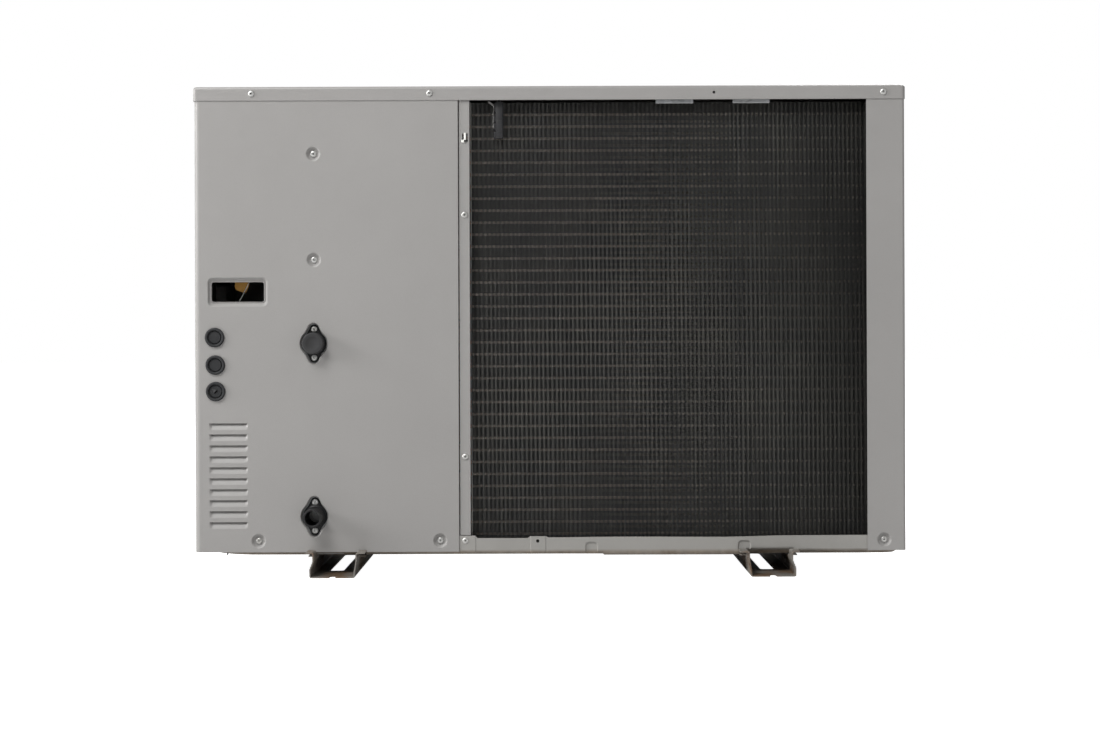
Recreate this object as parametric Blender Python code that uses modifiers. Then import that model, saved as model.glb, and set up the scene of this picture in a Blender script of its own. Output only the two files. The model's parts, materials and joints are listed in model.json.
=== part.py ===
"""Outdoor heat pump unit with one fan, modelled as the separate pieces it is assembled from.

Metres, +Z up.  The origin lies on the ground under the middle of the unit.  The coil and the water
connections face -Y (the rear), the fan faces +Y (the front), and +X is to the right seen from the rear.
"""

import math

import bmesh
import bpy
from mathutils import Matrix, Vector

# Casing
WIDTH = 1.240
CASE_DEPTH = 0.370
HEIGHT = 0.850
SHEET = 0.0010
GAP = 0.0003
COVER_SKIRT = 0.0248
COVER_ROUND = 0.005
PANEL_INSET = 0.0015
PANEL_BOTTOM = 0.040
PANEL_TOP = HEIGHT - 0.006
CORNER_RADIUS = 0.007
PANEL_X = WIDTH / 2 - PANEL_INSET
PANEL_Y = CASE_DEPTH / 2 - PANEL_INSET
REAR_Y = -PANEL_Y
SIDE_SPLIT_Y = -0.010

# Rear panel, post and coil opening, as places along X
REAR_PANEL_EDGE = -0.1584
POST_LEFT = -0.1570
POST_RIGHT = -0.1385
POST_RECESS = 0.002
COIL_LEFT = -0.1355
RIGHT_RETURN_EDGE = 0.550

# Base pan and foot rails
PAN_BOTTOM = 0.0344
PAN_SHEET = 0.0012
PAN_RIM = 0.0680
PAN_RIM_LOW = 0.0600
PAN_INSET = 0.0035
PAN_CORNER_REAR_LEFT = 0.100
PAN_CORNER_SMALL = 0.028
# Top edge of the pan's rear rim, as (place along X, height)
PAN_REAR_RIM = (
    (-0.640, 0.0560), (-0.1586, 0.0560), (-0.1580, 0.0676), (-0.1310, 0.0676), (-0.1270, 0.0632),
    (-0.0400, 0.0630), (-0.0350, 0.0662), (-0.0080, 0.0662), (-0.0030, 0.0640), (0.120, 0.0648),
    (0.300, 0.0640), (0.420, 0.0662), (0.640, 0.0664))
RIM_DRAIN = (-0.0223, 0.0580)
RIM_DRAIN_RADIUS = 0.00285
PAN_DRAINS_X = (0.05, 0.25, 0.45)
PAN_DRAINS_Y = -0.09
PAN_DRAIN_RADIUS = 0.010
# Rails as (side, middle, middle of the bolt slot, direction of the nearer end of the unit)
FOOT_RAILS = (("left", -0.3750, -0.3775, -1), ("right", 0.3826, 0.3826, 1))
FOOT_LENGTH = 0.460
FOOT_FLANGE = 0.012
FOOT_SHEET = 0.0020
FOOT_END_HEIGHT = 0.043
# Section of a rail as (distance from its middle towards the nearer end of the unit, height)
FOOT_OUTER_WALL = ((0.0393, 0.0), (0.0393, 0.0150), (0.0340, 0.0285))
FOOT_INNER_WALL = ((-0.0385, 0.0), (-0.0385, 0.0080), (-0.0420, 0.0285))
FOOT_WINDOW_WIDTH = 0.025
FOOT_WINDOW_LENGTH = 0.268
FOOT_WINDOW_CORNER = 0.006
FOOT_NOTCH_RADIUS = 0.0055
FOOT_NOTCH_DEPTH = 0.020

# Rear panel features
HAND_HOLE_X = -0.5430
HAND_HOLE_Z = 0.4930
HAND_HOLE_SIZE = (0.091, 0.034)
HAND_RECESS_SIZE = (0.104, 0.050)
HAND_RECESS_DEPTH = 0.005
GRIP_Y = 0.090
GRIP_SIZE = (0.104, 0.036)
GRIP_DEPTH = 0.020
GROMMET_PLACES = ((-0.5830, 0.4140), (-0.5820, 0.3660), (-0.5815, 0.3200))
GROMMET_RADIUS = 0.017
GROMMET_HOLE_RADIUS = 0.0142
LOUVRE_COUNT = 10
LOUVRE_X = -0.5595
LOUVRE_WIDTH = 0.067
LOUVRE_TOP = 0.2645
LOUVRE_PITCH = 0.0191
LOUVRE_HEIGHT = 0.011
LOUVRE_DEPTH = 0.005
PANEL_DIMPLES = ((-0.4108, 0.7330), (-0.4103, 0.5486), (-0.5078, 0.0595), (-0.1916, 0.0595))
RETURN_DIMPLE = (0.5810, 0.0585)
DIMPLE_RADIUS = 0.0120
DIMPLE_DEPTH = 0.003
SCREW_HEAD_RADIUS = 0.0055
SCREW_HEAD_HEIGHT = 0.0026
SCREW_SHANK_RADIUS = 0.0019
SCREW_HOLE_RADIUS = 0.0024
COVER_SCREW_Z = 0.8377
COVER_SCREWS_X = (-0.518, -0.208, 0.5815)
COVER_EMPTY_HOLE_X = 0.287
POST_SCREWS_Z = (0.626, 0.205)

# Air slots in the right side panel
SIDE_SLOT_ROWS = 13
SIDE_SLOT_BOTTOM = 0.110
SIDE_SLOT_PITCH = 0.052
SIDE_SLOT_HEIGHT = 0.022
SIDE_SLOT_LENGTH = 0.105
SIDE_SLOT_STARTS = (-0.080, 0.040)

# Water connections
UNION_UPPER = (-0.4108, 0.4030)
UNION_LOWER = (-0.4103, 0.1016)
UNION_MID_RADIUS = 0.0209
UNION_EAR_RADIUS = 0.0076
UNION_EAR_OFFSET = 0.0251
UNION_CLEARANCE = 0.0020
UNION_FLANGE_BACK = 0.008
UNION_FLANGE_THICK = 0.004
STUB_RADIUS = 0.0165
STUB_BORE = 0.0125
STUB_LENGTH_LOWER = 0.041
STUB_LENGTH_UPPER = 0.024
CAP_RADIUS = 0.0190
CAP_LENGTH = 0.0275

# Finned coil
COIL_FACE = 0.020
COIL_THICK = 0.040
COIL_BOTTOM = 0.038
COIL_TOP = 0.823
COIL_SIDE_X = 0.608
COIL_SIDE_END_Y = 0.150
COIL_BEND_RADIUS = 0.060

# Fan
FAN_X = 0.235
FAN_Z = 0.445
FAN_RADIUS = 0.252
FAN_Y = 0.142
SHROUD_RADIUS = 0.262
GRILLE_FRAME_RADIUS = SHROUD_RADIUS + 0.020
GRILLE_FRAME_DEPTH = 0.013
GRILLE_BAR_ROWS = 9
GRILLE_BAR_PITCH = 0.027
GRILLE_BAR_THICK = 0.004
GRILLE_RIBS_X = (-0.090, 0.090)
GRILLE_RIB_THICK = 0.005
MOTOR_RADIUS = 0.055
MOTOR_FRONT_Y = 0.085
MOTOR_REAR_Y = 0.008
SHAFT_RADIUS = 0.005
HUB_RADIUS = 0.045
BLADE_COUNT = 3

# Machine compartment
PARTITION_X = -0.1375
HEADER_X = PARTITION_X - 0.028
HEADER_Y = REAR_Y + COIL_FACE + COIL_THICK / 2 + 0.008
HEADER_RADIUS = 0.008
HEADER_ENDS_Z = (0.100, 0.570)
HEADER_BRANCHES = 6
HEADER_BRANCH_BOTTOM = 0.130
HEADER_BRANCH_PITCH = 0.080
BRANCH_RADIUS = 0.0045
COMPRESSOR_PLACE = (-0.310, 0.060)
COMPRESSOR_RADIUS = 0.0625
COMPRESSOR_BOTTOM = 0.058
COMPRESSOR_TOP = 0.380
COMPRESSOR_PLATE_LIFT = 0.010
COMPRESSOR_NECK = 0.012
FOOT_CIRCLE = 0.082
ACCUMULATOR_PLACE = (-0.200, 0.050)
ACCUMULATOR_TOP = 0.310
REVERSING_VALVE_X = -0.290
REVERSING_VALVE_Z = 0.470
REVERSING_VALVE_STUB = 0.040
REVERSING_VALVE_PITCH = 0.030
EXPANSION_VALVE_PLACE = (-0.235, -0.060, 0.300)
EXPANSION_INLET_RISE = 0.016
EXPANSION_INLET_REACH = 0.028
EXPANSION_OUTLET_DROP = 0.022
EXCHANGER_REAR = REAR_Y + 0.0335
EXCHANGER_SIZE = (0.080, 0.062)
EXCHANGER_ENDS_Z = (0.060, 0.445)
WATER_PORT_START = REAR_Y + 0.030
WATER_PORT_RADIUS = 0.0175
GAS_PORT_OFFSET = 0.018
GAS_PORT_REACH = 0.020
SMALL_PIPE = 0.004
CONTROL_BOX_LOW = (-0.602, -0.150, 0.590)
CONTROL_BOX_HIGH = (-0.168, 0.165, 0.815)
BOX_SHEET = 0.0012
BOX_FLOOR = CONTROL_BOX_LOW[2] + BOX_SHEET + GAP
TERMINAL_COUNT = 7
TERMINAL_PITCH = 0.0245

PARTS = "heat_pump_unit"
CUTTERS = "cutters"


# ---------------------------------------------------------------- scene and materials

def clear_scene():
    for item in list(bpy.data.objects):
        bpy.data.objects.remove(item, do_unlink=True)
    for name in (PARTS, CUTTERS):
        bpy.context.scene.collection.children.link(bpy.data.collections.new(name))


def material(name, color, roughness, metallic=0.0):
    """A Principled material, made once and shared by the objects that use it."""
    found = bpy.data.materials.get(name)
    if found:
        return found
    made = bpy.data.materials.new(name)
    made.use_nodes = True
    shader = made.node_tree.nodes["Principled BSDF"]
    shader.inputs["Base Color"].default_value = (*color, 1.0)
    shader.inputs["Roughness"].default_value = roughness
    shader.inputs["Metallic"].default_value = metallic
    made.diffuse_color = (*color, 1.0)
    return made


def casing_paint():
    return material("casing_paint", (0.36, 0.355, 0.335), 0.45)


def galvanised():
    return material("galvanised_steel", (0.42, 0.42, 0.41), 0.4, 0.9)


def pan_paint():
    return material("pan_paint", (0.30, 0.29, 0.27), 0.45)


def foot_steel():
    return material("foot_steel", (0.16, 0.14, 0.12), 0.4, 0.7)


def black_plastic():
    return material("black_plastic", (0.02, 0.02, 0.021), 0.45)


def black_rubber():
    return material("black_rubber", (0.025, 0.025, 0.026), 0.7)


def coil_fins():
    return material("coil_fins", (0.05, 0.05, 0.048), 0.4, 0.6)


def copper():
    return material("copper", (0.72, 0.36, 0.22), 0.35, 1.0)


def brass():
    return material("brass", (0.62, 0.42, 0.20), 0.35, 1.0)


def black_paint():
    return material("black_paint", (0.03, 0.03, 0.032), 0.35)


def screw_steel():
    return material("screw_steel", (0.6, 0.6, 0.58), 0.3, 1.0)


def white_plastic():
    return material("white_plastic", (0.8, 0.8, 0.78), 0.4)


def board_green():
    return material("board_green", (0.02, 0.16, 0.06), 0.5)


# ---------------------------------------------------------------- modelling helpers

def place(name, mesh, finish, location=(0.0, 0.0, 0.0), matrix=None):
    """Put a mesh or curve in the parts collection as one named piece."""
    made = bpy.data.objects.new(name, mesh)
    mesh.materials.append(finish)
    made.location = location
    if matrix is not None:
        made.matrix_world = matrix
    bpy.data.collections[PARTS].objects.link(made)
    return made


def mesh_from(bm, name):
    bmesh.ops.recalc_face_normals(bm, faces=bm.faces)
    mesh = bpy.data.meshes.new(name)
    bm.to_mesh(mesh)
    bm.free()
    return mesh


def make_cutter(thing):
    """Keep an operand out of the parts: it only shapes another piece."""
    bpy.data.collections[PARTS].objects.unlink(thing)
    bpy.data.collections[CUTTERS].objects.link(thing)
    thing.hide_render = True
    thing.display_type = "WIRE"


def combine(target, other, operation):
    step = target.modifiers.new(operation.lower(), "BOOLEAN")
    step.operation = operation
    step.object = other
    step.solver = "EXACT"
    make_cutter(other)


def cut(target, other):
    combine(target, other, "DIFFERENCE")


def unite(target, other):
    combine(target, other, "UNION")


def add_boxes(bm, corner_pairs):
    for low, high in corner_pairs:
        size = [b - a for a, b in zip(low, high)]
        middle = [(a + b) / 2 for a, b in zip(low, high)]
        bmesh.ops.create_cube(bm, size=1.0, matrix=Matrix.Translation(middle) @ Matrix.Diagonal((*size, 1.0)))


def boxes(name, finish, *corner_pairs):
    """One object holding a box for each (low corner, high corner) pair."""
    bm = bmesh.new()
    add_boxes(bm, corner_pairs)
    return place(name, mesh_from(bm, name), finish)


def join_boxes(name, finish, first, *others):
    """A body made of boxes that overlap, united one after another."""
    body = boxes(name, finish, first)
    for number, pair in enumerate(others):
        unite(body, boxes(f"{name}_joined_{number}", finish, pair))
    return body


def round_edges(thing, width, segments=2, angle=40):
    step = thing.modifiers.new("bevel", "BEVEL")
    step.width = width
    step.segments = segments
    step.limit_method = "ANGLE"
    step.angle_limit = math.radians(angle)
    step.harden_normals = False


def arc(center, radius, start, end, count):
    """Points along an arc in a plane, angles in degrees, both ends included."""
    steps = [start + (end - start) * k / count for k in range(count + 1)]
    return [
        (center[0] + radius * math.cos(math.radians(a)), center[1] + radius * math.sin(math.radians(a)))
        for a in steps
    ]


def rounded_rectangle(center, size, radius, count=4):
    """Counter-clockwise outline of a rectangle with round corners; radius may be one number or four."""
    radii = radius if isinstance(radius, tuple) else (radius,) * 4
    half_x = size[0] / 2
    half_y = size[1] / 2
    outline = []
    for corner, (sign_x, sign_y) in enumerate(((1, 1), (-1, 1), (-1, -1), (1, -1))):
        r = radii[corner]
        middle = (center[0] + sign_x * (half_x - r), center[1] + sign_y * (half_y - r))
        outline += arc(middle, r, corner * 90, corner * 90 + 90, count)
    return outline


def to_space(plane, point, offset):
    """Place a drawing point in space: 'xz' draws on a wall facing -Y, 'xy' on the ground, 'yz' on a side."""
    u, v = point
    if plane == "xz":
        return (u, offset, v)
    if plane == "xy":
        return (u, v, offset)
    return (offset, u, v)


def add_prism(bm, plane, outline, start, end):
    base = [bm.verts.new(to_space(plane, point, start)) for point in outline]
    face = bm.faces.new(base)
    lifted = bmesh.ops.extrude_face_region(bm, geom=[face])["geom"]
    shift = Vector(to_space(plane, (0.0, 0.0), end - start))
    bmesh.ops.translate(bm, vec=shift, verts=[v for v in lifted if isinstance(v, bmesh.types.BMVert)])


def prism(name, finish, plane, outlines, start, end):
    """Flat outlines given thickness; several outlines stay separate shapes in one object."""
    bm = bmesh.new()
    for outline in outlines:
        add_prism(bm, plane, outline, start, end)
    return place(name, mesh_from(bm, name), finish)


def loft(name, finish, plane, first, first_offset, second, second_offset):
    """A solid between two outlines with equal numbers of points."""
    bm = bmesh.new()
    rings = []
    for outline, offset in ((first, first_offset), (second, second_offset)):
        rings.append([bm.verts.new(to_space(plane, point, offset)) for point in outline])
        bm.faces.new(rings[-1])
    count = len(first)
    for k in range(count):
        after = (k + 1) % count
        bm.faces.new((rings[0][k], rings[0][after], rings[1][after], rings[1][k]))
    return place(name, mesh_from(bm, name), finish)


def folded_sheet(name, finish, plane, path, start, end, thickness, inside):
    """Sheet bent along a path and drawn out; inside is +1 or -1, the side of the path that is filled."""
    bm = bmesh.new()
    rows = []
    for offset in (start, end):
        rows.append([bm.verts.new(to_space(plane, point, offset)) for point in path])
    for k in range(len(path) - 1):
        bm.faces.new((rows[0][k], rows[0][k + 1], rows[1][k + 1], rows[1][k]))
    mesh = bpy.data.meshes.new(name)
    bm.to_mesh(mesh)
    bm.free()
    body = place(name, mesh, finish)
    step = body.modifiers.new("sheet", "SOLIDIFY")
    step.thickness = thickness
    step.offset = inside
    step.use_even_offset = True
    return body


def turned(name, finish, profile, location, axis="z", steps=24, ring=False):
    """A turned piece from (radius, height) points that run down its outer side.

    Along 'y' the profile's heights run towards -Y, out of the rear of the unit.
    A ring's profile is a closed loop away from the axis.
    """
    bm = bmesh.new()
    points = [bm.verts.new((r, 0.0, h)) for r, h in profile]
    for k in range(len(points) - 1):
        bm.edges.new((points[k], points[k + 1]))
    if ring:
        bm.edges.new((points[-1], points[0]))
    mesh = bpy.data.meshes.new(name)
    bm.to_mesh(mesh)
    bm.free()
    turn = Matrix.Rotation(math.radians(90), 4, "X") if axis == "y" else Matrix.Identity(4)
    body = place(name, mesh, finish, matrix=Matrix.Translation(location) @ turn)
    step = body.modifiers.new("turn", "SCREW")
    step.steps = steps
    step.render_steps = steps
    step.merge_threshold = 0.00001
    step.use_merge_vertices = True
    return body


def add_rods(bm, rods, segments=16):
    """Closed cylinders, each from one point to another."""
    for start, end, radius in rods:
        a = Vector(start)
        b = Vector(end)
        spin = (b - a).to_track_quat("Z", "Y").to_matrix().to_4x4()
        bmesh.ops.create_cone(
            bm, cap_ends=True, segments=segments, radius1=radius, radius2=radius,
            depth=(b - a).length, matrix=Matrix.Translation((a + b) / 2) @ spin)


def rods(name, finish, *ends, segments=16):
    bm = bmesh.new()
    add_rods(bm, ends, segments)
    return place(name, mesh_from(bm, name), finish)


def bent_route(corners, radius, count=3):
    """A route through corners with each corner rounded by a short curve."""
    route = [Vector(corners[0])]
    for before, corner, after in zip(corners, corners[1:], corners[2:]):
        middle = Vector(corner)
        into = (Vector(before) - middle).normalized() * radius
        out = (Vector(after) - middle).normalized() * radius
        for k in range(count + 1):
            t = k / count
            start = middle + into * (1 - t)
            end = middle + out * t
            route.append(start.lerp(end, t))
    route.append(Vector(corners[-1]))
    return route


def tube(name, finish, route, radius):
    """A round bar or pipe along a route, as a curve with closed ends."""
    curve = bpy.data.curves.new(name, "CURVE")
    curve.dimensions = "3D"
    curve.bevel_depth = radius
    curve.bevel_resolution = 2
    curve.use_fill_caps = True
    line = curve.splines.new("POLY")
    line.points.add(len(route) - 1)
    for point, spot in zip(line.points, route):
        point.co = (*spot, 1.0)
    return place(name, curve, finish)


def tube_mesh(name, finish, route, radius):
    """The same pipe as a closed mesh, for pieces that are joined or cut."""
    source = tube(name + "_curve", finish, route, radius)
    bpy.context.view_layer.update()
    graph = bpy.context.evaluated_depsgraph_get()
    mesh = bpy.data.meshes.new_from_object(source.evaluated_get(graph))
    bm = bmesh.new()
    bm.from_mesh(mesh)
    bmesh.ops.remove_doubles(bm, verts=bm.verts, dist=0.00001)
    bm.to_mesh(mesh)
    bm.free()
    made = bpy.data.objects.new(name, mesh)
    made.matrix_world = source.matrix_world
    bpy.data.collections[PARTS].objects.link(made)
    bpy.data.objects.remove(source, do_unlink=True)
    return made


# ---------------------------------------------------------------- base pan and feet

def base_pan():
    """Shallow tray; its rear rim shows under the coil with a wavy top edge and two raised tabs."""
    size = (WIDTH - 2 * PAN_INSET, CASE_DEPTH - 2 * PAN_INSET)
    radii = (PAN_CORNER_SMALL, PAN_CORNER_SMALL, PAN_CORNER_REAR_LEFT, PAN_CORNER_SMALL)
    outer = rounded_rectangle((0, 0), size, radii, 6)
    inner_size = (size[0] - 2 * PAN_SHEET, size[1] - 2 * PAN_SHEET)
    inner = rounded_rectangle((0, 0), inner_size, tuple(r - PAN_SHEET for r in radii), 6)
    pan = prism("base_pan", pan_paint(), "xy", [outer], PAN_BOTTOM, PAN_RIM)
    cut(pan, prism("pan_inside", pan_paint(), "xy", [inner], PAN_BOTTOM + PAN_SHEET, PAN_RIM + 0.01))
    rear = -CASE_DEPTH / 2
    above = PAN_RIM + 0.012
    wave = [(PAN_REAR_RIM[0][0], above), *PAN_REAR_RIM, (PAN_REAR_RIM[-1][0], above)]
    cut(pan, prism("rim_wave", pan_paint(), "xz", [wave], rear - 0.01, rear + PAN_INSET + 0.01))
    level = ((-WIDTH / 2, rear + PAN_INSET + 0.005, PAN_RIM_LOW), (WIDTH / 2, -rear + 0.01, above))
    cut(pan, boxes("rim_level", pan_paint(), level))
    x, z = RIM_DRAIN
    drains = [((x, rear, z), (x, rear + 0.02, z), RIM_DRAIN_RADIUS)]
    drains += [((x, PAN_DRAINS_Y, PAN_BOTTOM - 0.01), (x, PAN_DRAINS_Y, PAN_BOTTOM + 0.01), PAN_DRAIN_RADIUS)
               for x in PAN_DRAINS_X]
    cut(pan, rods("pan_holes", pan_paint(), *drains))
    notches = []
    for _, middle_x, _, outward in FOOT_RAILS:
        low, high = sorted(middle_x + outward * wall[-1][0] for wall in (FOOT_OUTER_WALL, FOOT_INNER_WALL))
        notches.append(((low, rear, 0.0), (high, rear + PAN_INSET + PAN_SHEET, FOOT_END_HEIGHT + GAP)))
    cut(pan, boxes("rim_notches", pan_paint(), *notches))
    seats = [((x, rear, z), (x, rear + 0.01, z), DIMPLE_RADIUS + 0.001)
             for x, z in PANEL_DIMPLES[2:] + (RETURN_DIMPLE,)]
    cut(pan, rods("pan_seat_reliefs", pan_paint(), *seats, segments=18))
    return pan


def foot_rail(side, middle_x, slot_x, outward):
    """Channel rail with a long bolt slot; its ends stand higher than the pan that rests on it."""
    finish = foot_steel()
    name = f"foot_rail_{side}"
    outer = FOOT_OUTER_WALL[-1][0]
    inner = FOOT_INNER_WALL[-1][0]
    section = [(outer, FOOT_END_HEIGHT)] + list(reversed(FOOT_OUTER_WALL))
    section += list(FOOT_INNER_WALL) + [(inner, FOOT_END_HEIGHT)]
    section = [(middle_x + outward * u, v) for u, v in section]
    end = FOOT_LENGTH / 2
    rail = folded_sheet(name, finish, "xz", section, -end, end, FOOT_SHEET, -outward)
    seat = PAN_BOTTOM - GAP
    hold = CASE_DEPTH / 2 + GAP
    cut(rail, boxes(name + "_seat", finish, ((middle_x - 0.08, -hold, seat), (middle_x + 0.08, hold, 0.1))))
    for wall, way in ((outer, 1), (inner, -1)):
        near = middle_x + outward * (wall - way * FOOT_SHEET / 2)
        far = middle_x + outward * (wall + way * FOOT_FLANGE)
        flange = ((min(near, far), -hold, seat - FOOT_SHEET), (max(near, far), hold, seat))
        unite(rail, boxes(f"{name}_flange_{way}", finish, flange))
    window = rounded_rectangle((slot_x, 0), (FOOT_WINDOW_WIDTH, FOOT_WINDOW_LENGTH), FOOT_WINDOW_CORNER)
    outlines = [window]
    for way in (-1, 1):
        start = way * (end + 0.005)
        stop = way * (end - FOOT_NOTCH_DEPTH + FOOT_NOTCH_RADIUS)
        tip = [(middle_x + u, stop - way * v) for u, v in arc((0, 0), FOOT_NOTCH_RADIUS, 0, 180, 8)]
        outlines.append([(middle_x + FOOT_NOTCH_RADIUS, start)] + tip + [(middle_x - FOOT_NOTCH_RADIUS, start)])
    cut(rail, prism(name + "_slot", finish, "xy", outlines, -0.01, 0.01))
    return rail


# ---------------------------------------------------------------- cover and panels

def skirt_hole_rods(deep):
    """Holes through the cover's rear skirt and the sheet behind it."""
    rear = -CASE_DEPTH / 2 - 0.005
    places = COVER_SCREWS_X + (COVER_EMPTY_HOLE_X,)
    return [((x, rear, COVER_SCREW_Z), (x, rear + deep, COVER_SCREW_Z), SCREW_HOLE_RADIUS) for x in places]


def top_cover():
    """Lid with a rounded edge and a skirt all round."""
    bottom = HEIGHT - COVER_SKIRT
    low = (-WIDTH / 2, -CASE_DEPTH / 2, bottom)
    cover = boxes("top_cover", casing_paint(), (low, (WIDTH / 2, CASE_DEPTH / 2, HEIGHT)))
    bm = bmesh.new()
    bm.from_mesh(cover.data)
    bmesh.ops.delete(bm, geom=[f for f in bm.faces if f.normal.z < -0.5], context="FACES")
    upright = [e for e in bm.edges if abs(e.verts[0].co.z - e.verts[1].co.z) > 0.001]
    bmesh.ops.bevel(bm, geom=upright, offset=CORNER_RADIUS, segments=4, profile=0.5, affect="EDGES")
    rim = [e for e in bm.edges if min(v.co.z for v in e.verts) > HEIGHT - 0.0001]
    bmesh.ops.bevel(bm, geom=rim, offset=COVER_ROUND, segments=3, profile=0.5, affect="EDGES")
    bm.to_mesh(cover.data)
    bm.free()
    step = cover.modifiers.new("sheet", "SOLIDIFY")
    step.thickness = SHEET
    step.offset = -1
    step.use_even_offset = True
    cut(cover, rods("skirt_holes", casing_paint(), *skirt_hole_rods(0.008)))
    return cover


def stamped_recess(panel, finish, center, outer, opening, depth):
    """Press a recess into the rear panel around a hand hole."""
    face = REAR_Y
    wall = 2 * SHEET
    floor_size = (opening[0] + 0.006, opening[1] + 0.005)
    outside = rounded_rectangle(center, (outer[0] + wall, outer[1] + wall), 0.009)
    outside_floor = rounded_rectangle(center, (floor_size[0] + wall, floor_size[1] + wall), 0.007)
    inside = rounded_rectangle(center, outer, 0.008)
    inside_floor = rounded_rectangle(center, floor_size, 0.006)
    unite(panel, loft("recess_outside", finish, "xz", outside, face + 0.0003,
                      outside_floor, face + depth + SHEET))
    cut(panel, loft("recess_inside", finish, "xz", inside, face - 0.0005, inside_floor, face + depth))
    hole = rounded_rectangle(center, opening, 0.0045)
    cut(panel, prism("hand_hole", finish, "xz", [hole], face + 0.001, face + 0.012))


def louvres(panel, finish):
    """Press a column of louvres inwards: each slopes in from its lower edge to an open slit at its top."""
    face = REAR_Y
    solids = bmesh.new()
    voids = bmesh.new()
    half = LOUVRE_WIDTH / 2
    slope = LOUVRE_DEPTH / LOUVRE_HEIGHT
    lip = 0.002
    for number in range(LOUVRE_COUNT):
        top = LOUVRE_TOP - number * LOUVRE_PITCH
        foot = top - LOUVRE_HEIGHT
        shell = [
            (face + 0.0004, foot - 0.0015), (face + SHEET, foot - 0.0015),
            (face + LOUVRE_DEPTH + SHEET, top + 0.0004), (face + 0.0004, top + 0.0004)]
        space = [
            (face - 0.001, foot - 0.001 / slope), (face + LOUVRE_DEPTH + slope * lip, top + lip),
            (face + SHEET + 0.0003, top + lip), (face + SHEET + 0.0003, top), (face - 0.001, top)]
        add_prism(solids, "yz", shell, LOUVRE_X - half, LOUVRE_X + half)
        add_prism(voids, "yz", space, LOUVRE_X - half + SHEET, LOUVRE_X + half - SHEET)
    unite(panel, place("louvre_shells", mesh_from(solids, "louvre_shells"), finish))
    cut(panel, place("louvre_spaces", mesh_from(voids, "louvre_spaces"), finish))


def dimple(panel, finish, spot, face_y):
    """Press a round dished seat for a screw into a sheet that faces the rear."""
    x, z = spot
    cut(panel, rods("dimple_hole", finish, ((x, face_y - 0.005, z), (x, face_y + 0.005, z), DIMPLE_RADIUS),
                    segments=14))
    seat = DIMPLE_RADIUS - 0.004
    profile = [
        (SCREW_HOLE_RADIUS, -DIMPLE_DEPTH), (seat, -DIMPLE_DEPTH), (DIMPLE_RADIUS - 0.0002, -0.0001),
        (DIMPLE_RADIUS + 0.0004, -0.0001), (DIMPLE_RADIUS + 0.0004, -SHEET + 0.0001),
        (seat + 0.0008, -DIMPLE_DEPTH - SHEET), (SCREW_HOLE_RADIUS, -DIMPLE_DEPTH - SHEET)]
    unite(panel, turned("dimple_seat", finish, profile, (x, face_y, z), "y", 14, ring=True))


def rhombus(center, clearance=0.0):
    """Outline of a flange with a round middle and two ears above and below it."""
    mid = UNION_MID_RADIUS + clearance
    ear = UNION_EAR_RADIUS + clearance
    lean = math.degrees(math.acos((mid - ear) / UNION_EAR_OFFSET))
    x, z = center
    up = (x, z + UNION_EAR_OFFSET)
    down = (x, z - UNION_EAR_OFFSET)
    outline = arc(center, mid, lean - 90, 90 - lean, 5)
    outline += arc(up, ear, 90 - lean, 90 + lean, 6)
    outline += arc(center, mid, 90 + lean, 270 - lean, 5)
    outline += arc(down, ear, 270 - lean, 270 + lean, 6)
    return outline


def rear_panel():
    """Panel behind the machine compartment; it wraps round the left corner to half of the left side."""
    finish = casing_paint()
    corner = (-PANEL_X + CORNER_RADIUS, REAR_Y + CORNER_RADIUS)
    path = [(REAR_PANEL_EDGE, REAR_Y)] + arc(corner, CORNER_RADIUS, 270, 180, 5) + [(-PANEL_X, SIDE_SPLIT_Y)]
    panel = folded_sheet("rear_panel", finish, "xy", path, PANEL_BOTTOM, PANEL_TOP, SHEET, 1)
    holes = [((x, REAR_Y - 0.01, z), (x, REAR_Y + 0.01, z), GROMMET_HOLE_RADIUS) for x, z in GROMMET_PLACES]
    cut(panel, rods("grommet_holes", finish, *holes, segments=18))
    outlines = [rhombus(UNION_UPPER, UNION_CLEARANCE), rhombus(UNION_LOWER, UNION_CLEARANCE)]
    cut(panel, prism("union_holes", finish, "xz", outlines, REAR_Y - 0.01, REAR_Y + 0.01))
    cut(panel, rods("cover_screw_holes", finish, *skirt_hole_rods(0.012)))
    spot = (HAND_HOLE_X, HAND_HOLE_Z)
    stamped_recess(panel, finish, spot, HAND_RECESS_SIZE, HAND_HOLE_SIZE, HAND_RECESS_DEPTH)
    louvres(panel, finish)
    for spot in PANEL_DIMPLES:
        dimple(panel, finish, spot, REAR_Y)
    return panel


def right_side_panel():
    """Right side with air slots in front of the coil's short leg, and a return across the rear corner."""
    finish = casing_paint()
    radius = 0.005
    corner = (PANEL_X - radius, REAR_Y + radius)
    path = [(RIGHT_RETURN_EDGE, REAR_Y + 0.012), (RIGHT_RETURN_EDGE, REAR_Y)]
    path += arc(corner, radius, 270, 360, 5) + [(PANEL_X, 0.155)]
    panel = folded_sheet("right_side_panel", finish, "xy", path, PANEL_BOTTOM, PANEL_TOP, SHEET, -1)
    cut(panel, rods("cover_screw_hole_right", finish, *skirt_hole_rods(0.012)))
    slots = []
    for row in range(SIDE_SLOT_ROWS):
        z = SIDE_SLOT_BOTTOM + row * SIDE_SLOT_PITCH
        for y in SIDE_SLOT_STARTS:
            end = (PANEL_X + 0.01, y + SIDE_SLOT_LENGTH, z + SIDE_SLOT_HEIGHT)
            slots.append(((PANEL_X - 0.01, y, z), end))
    cut(panel, boxes("air_slots", finish, *slots))
    rim_low = (RIGHT_RETURN_EDGE - 0.001, REAR_Y + SHEET + GAP, 0.0)
    rim_high = (RIGHT_RETURN_EDGE + 0.003, REAR_Y + COIL_FACE, PAN_RIM)
    cut(panel, boxes("rim_relief", finish, (rim_low, rim_high)))
    dimple(panel, finish, RETURN_DIMPLE, REAR_Y)
    return panel


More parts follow.
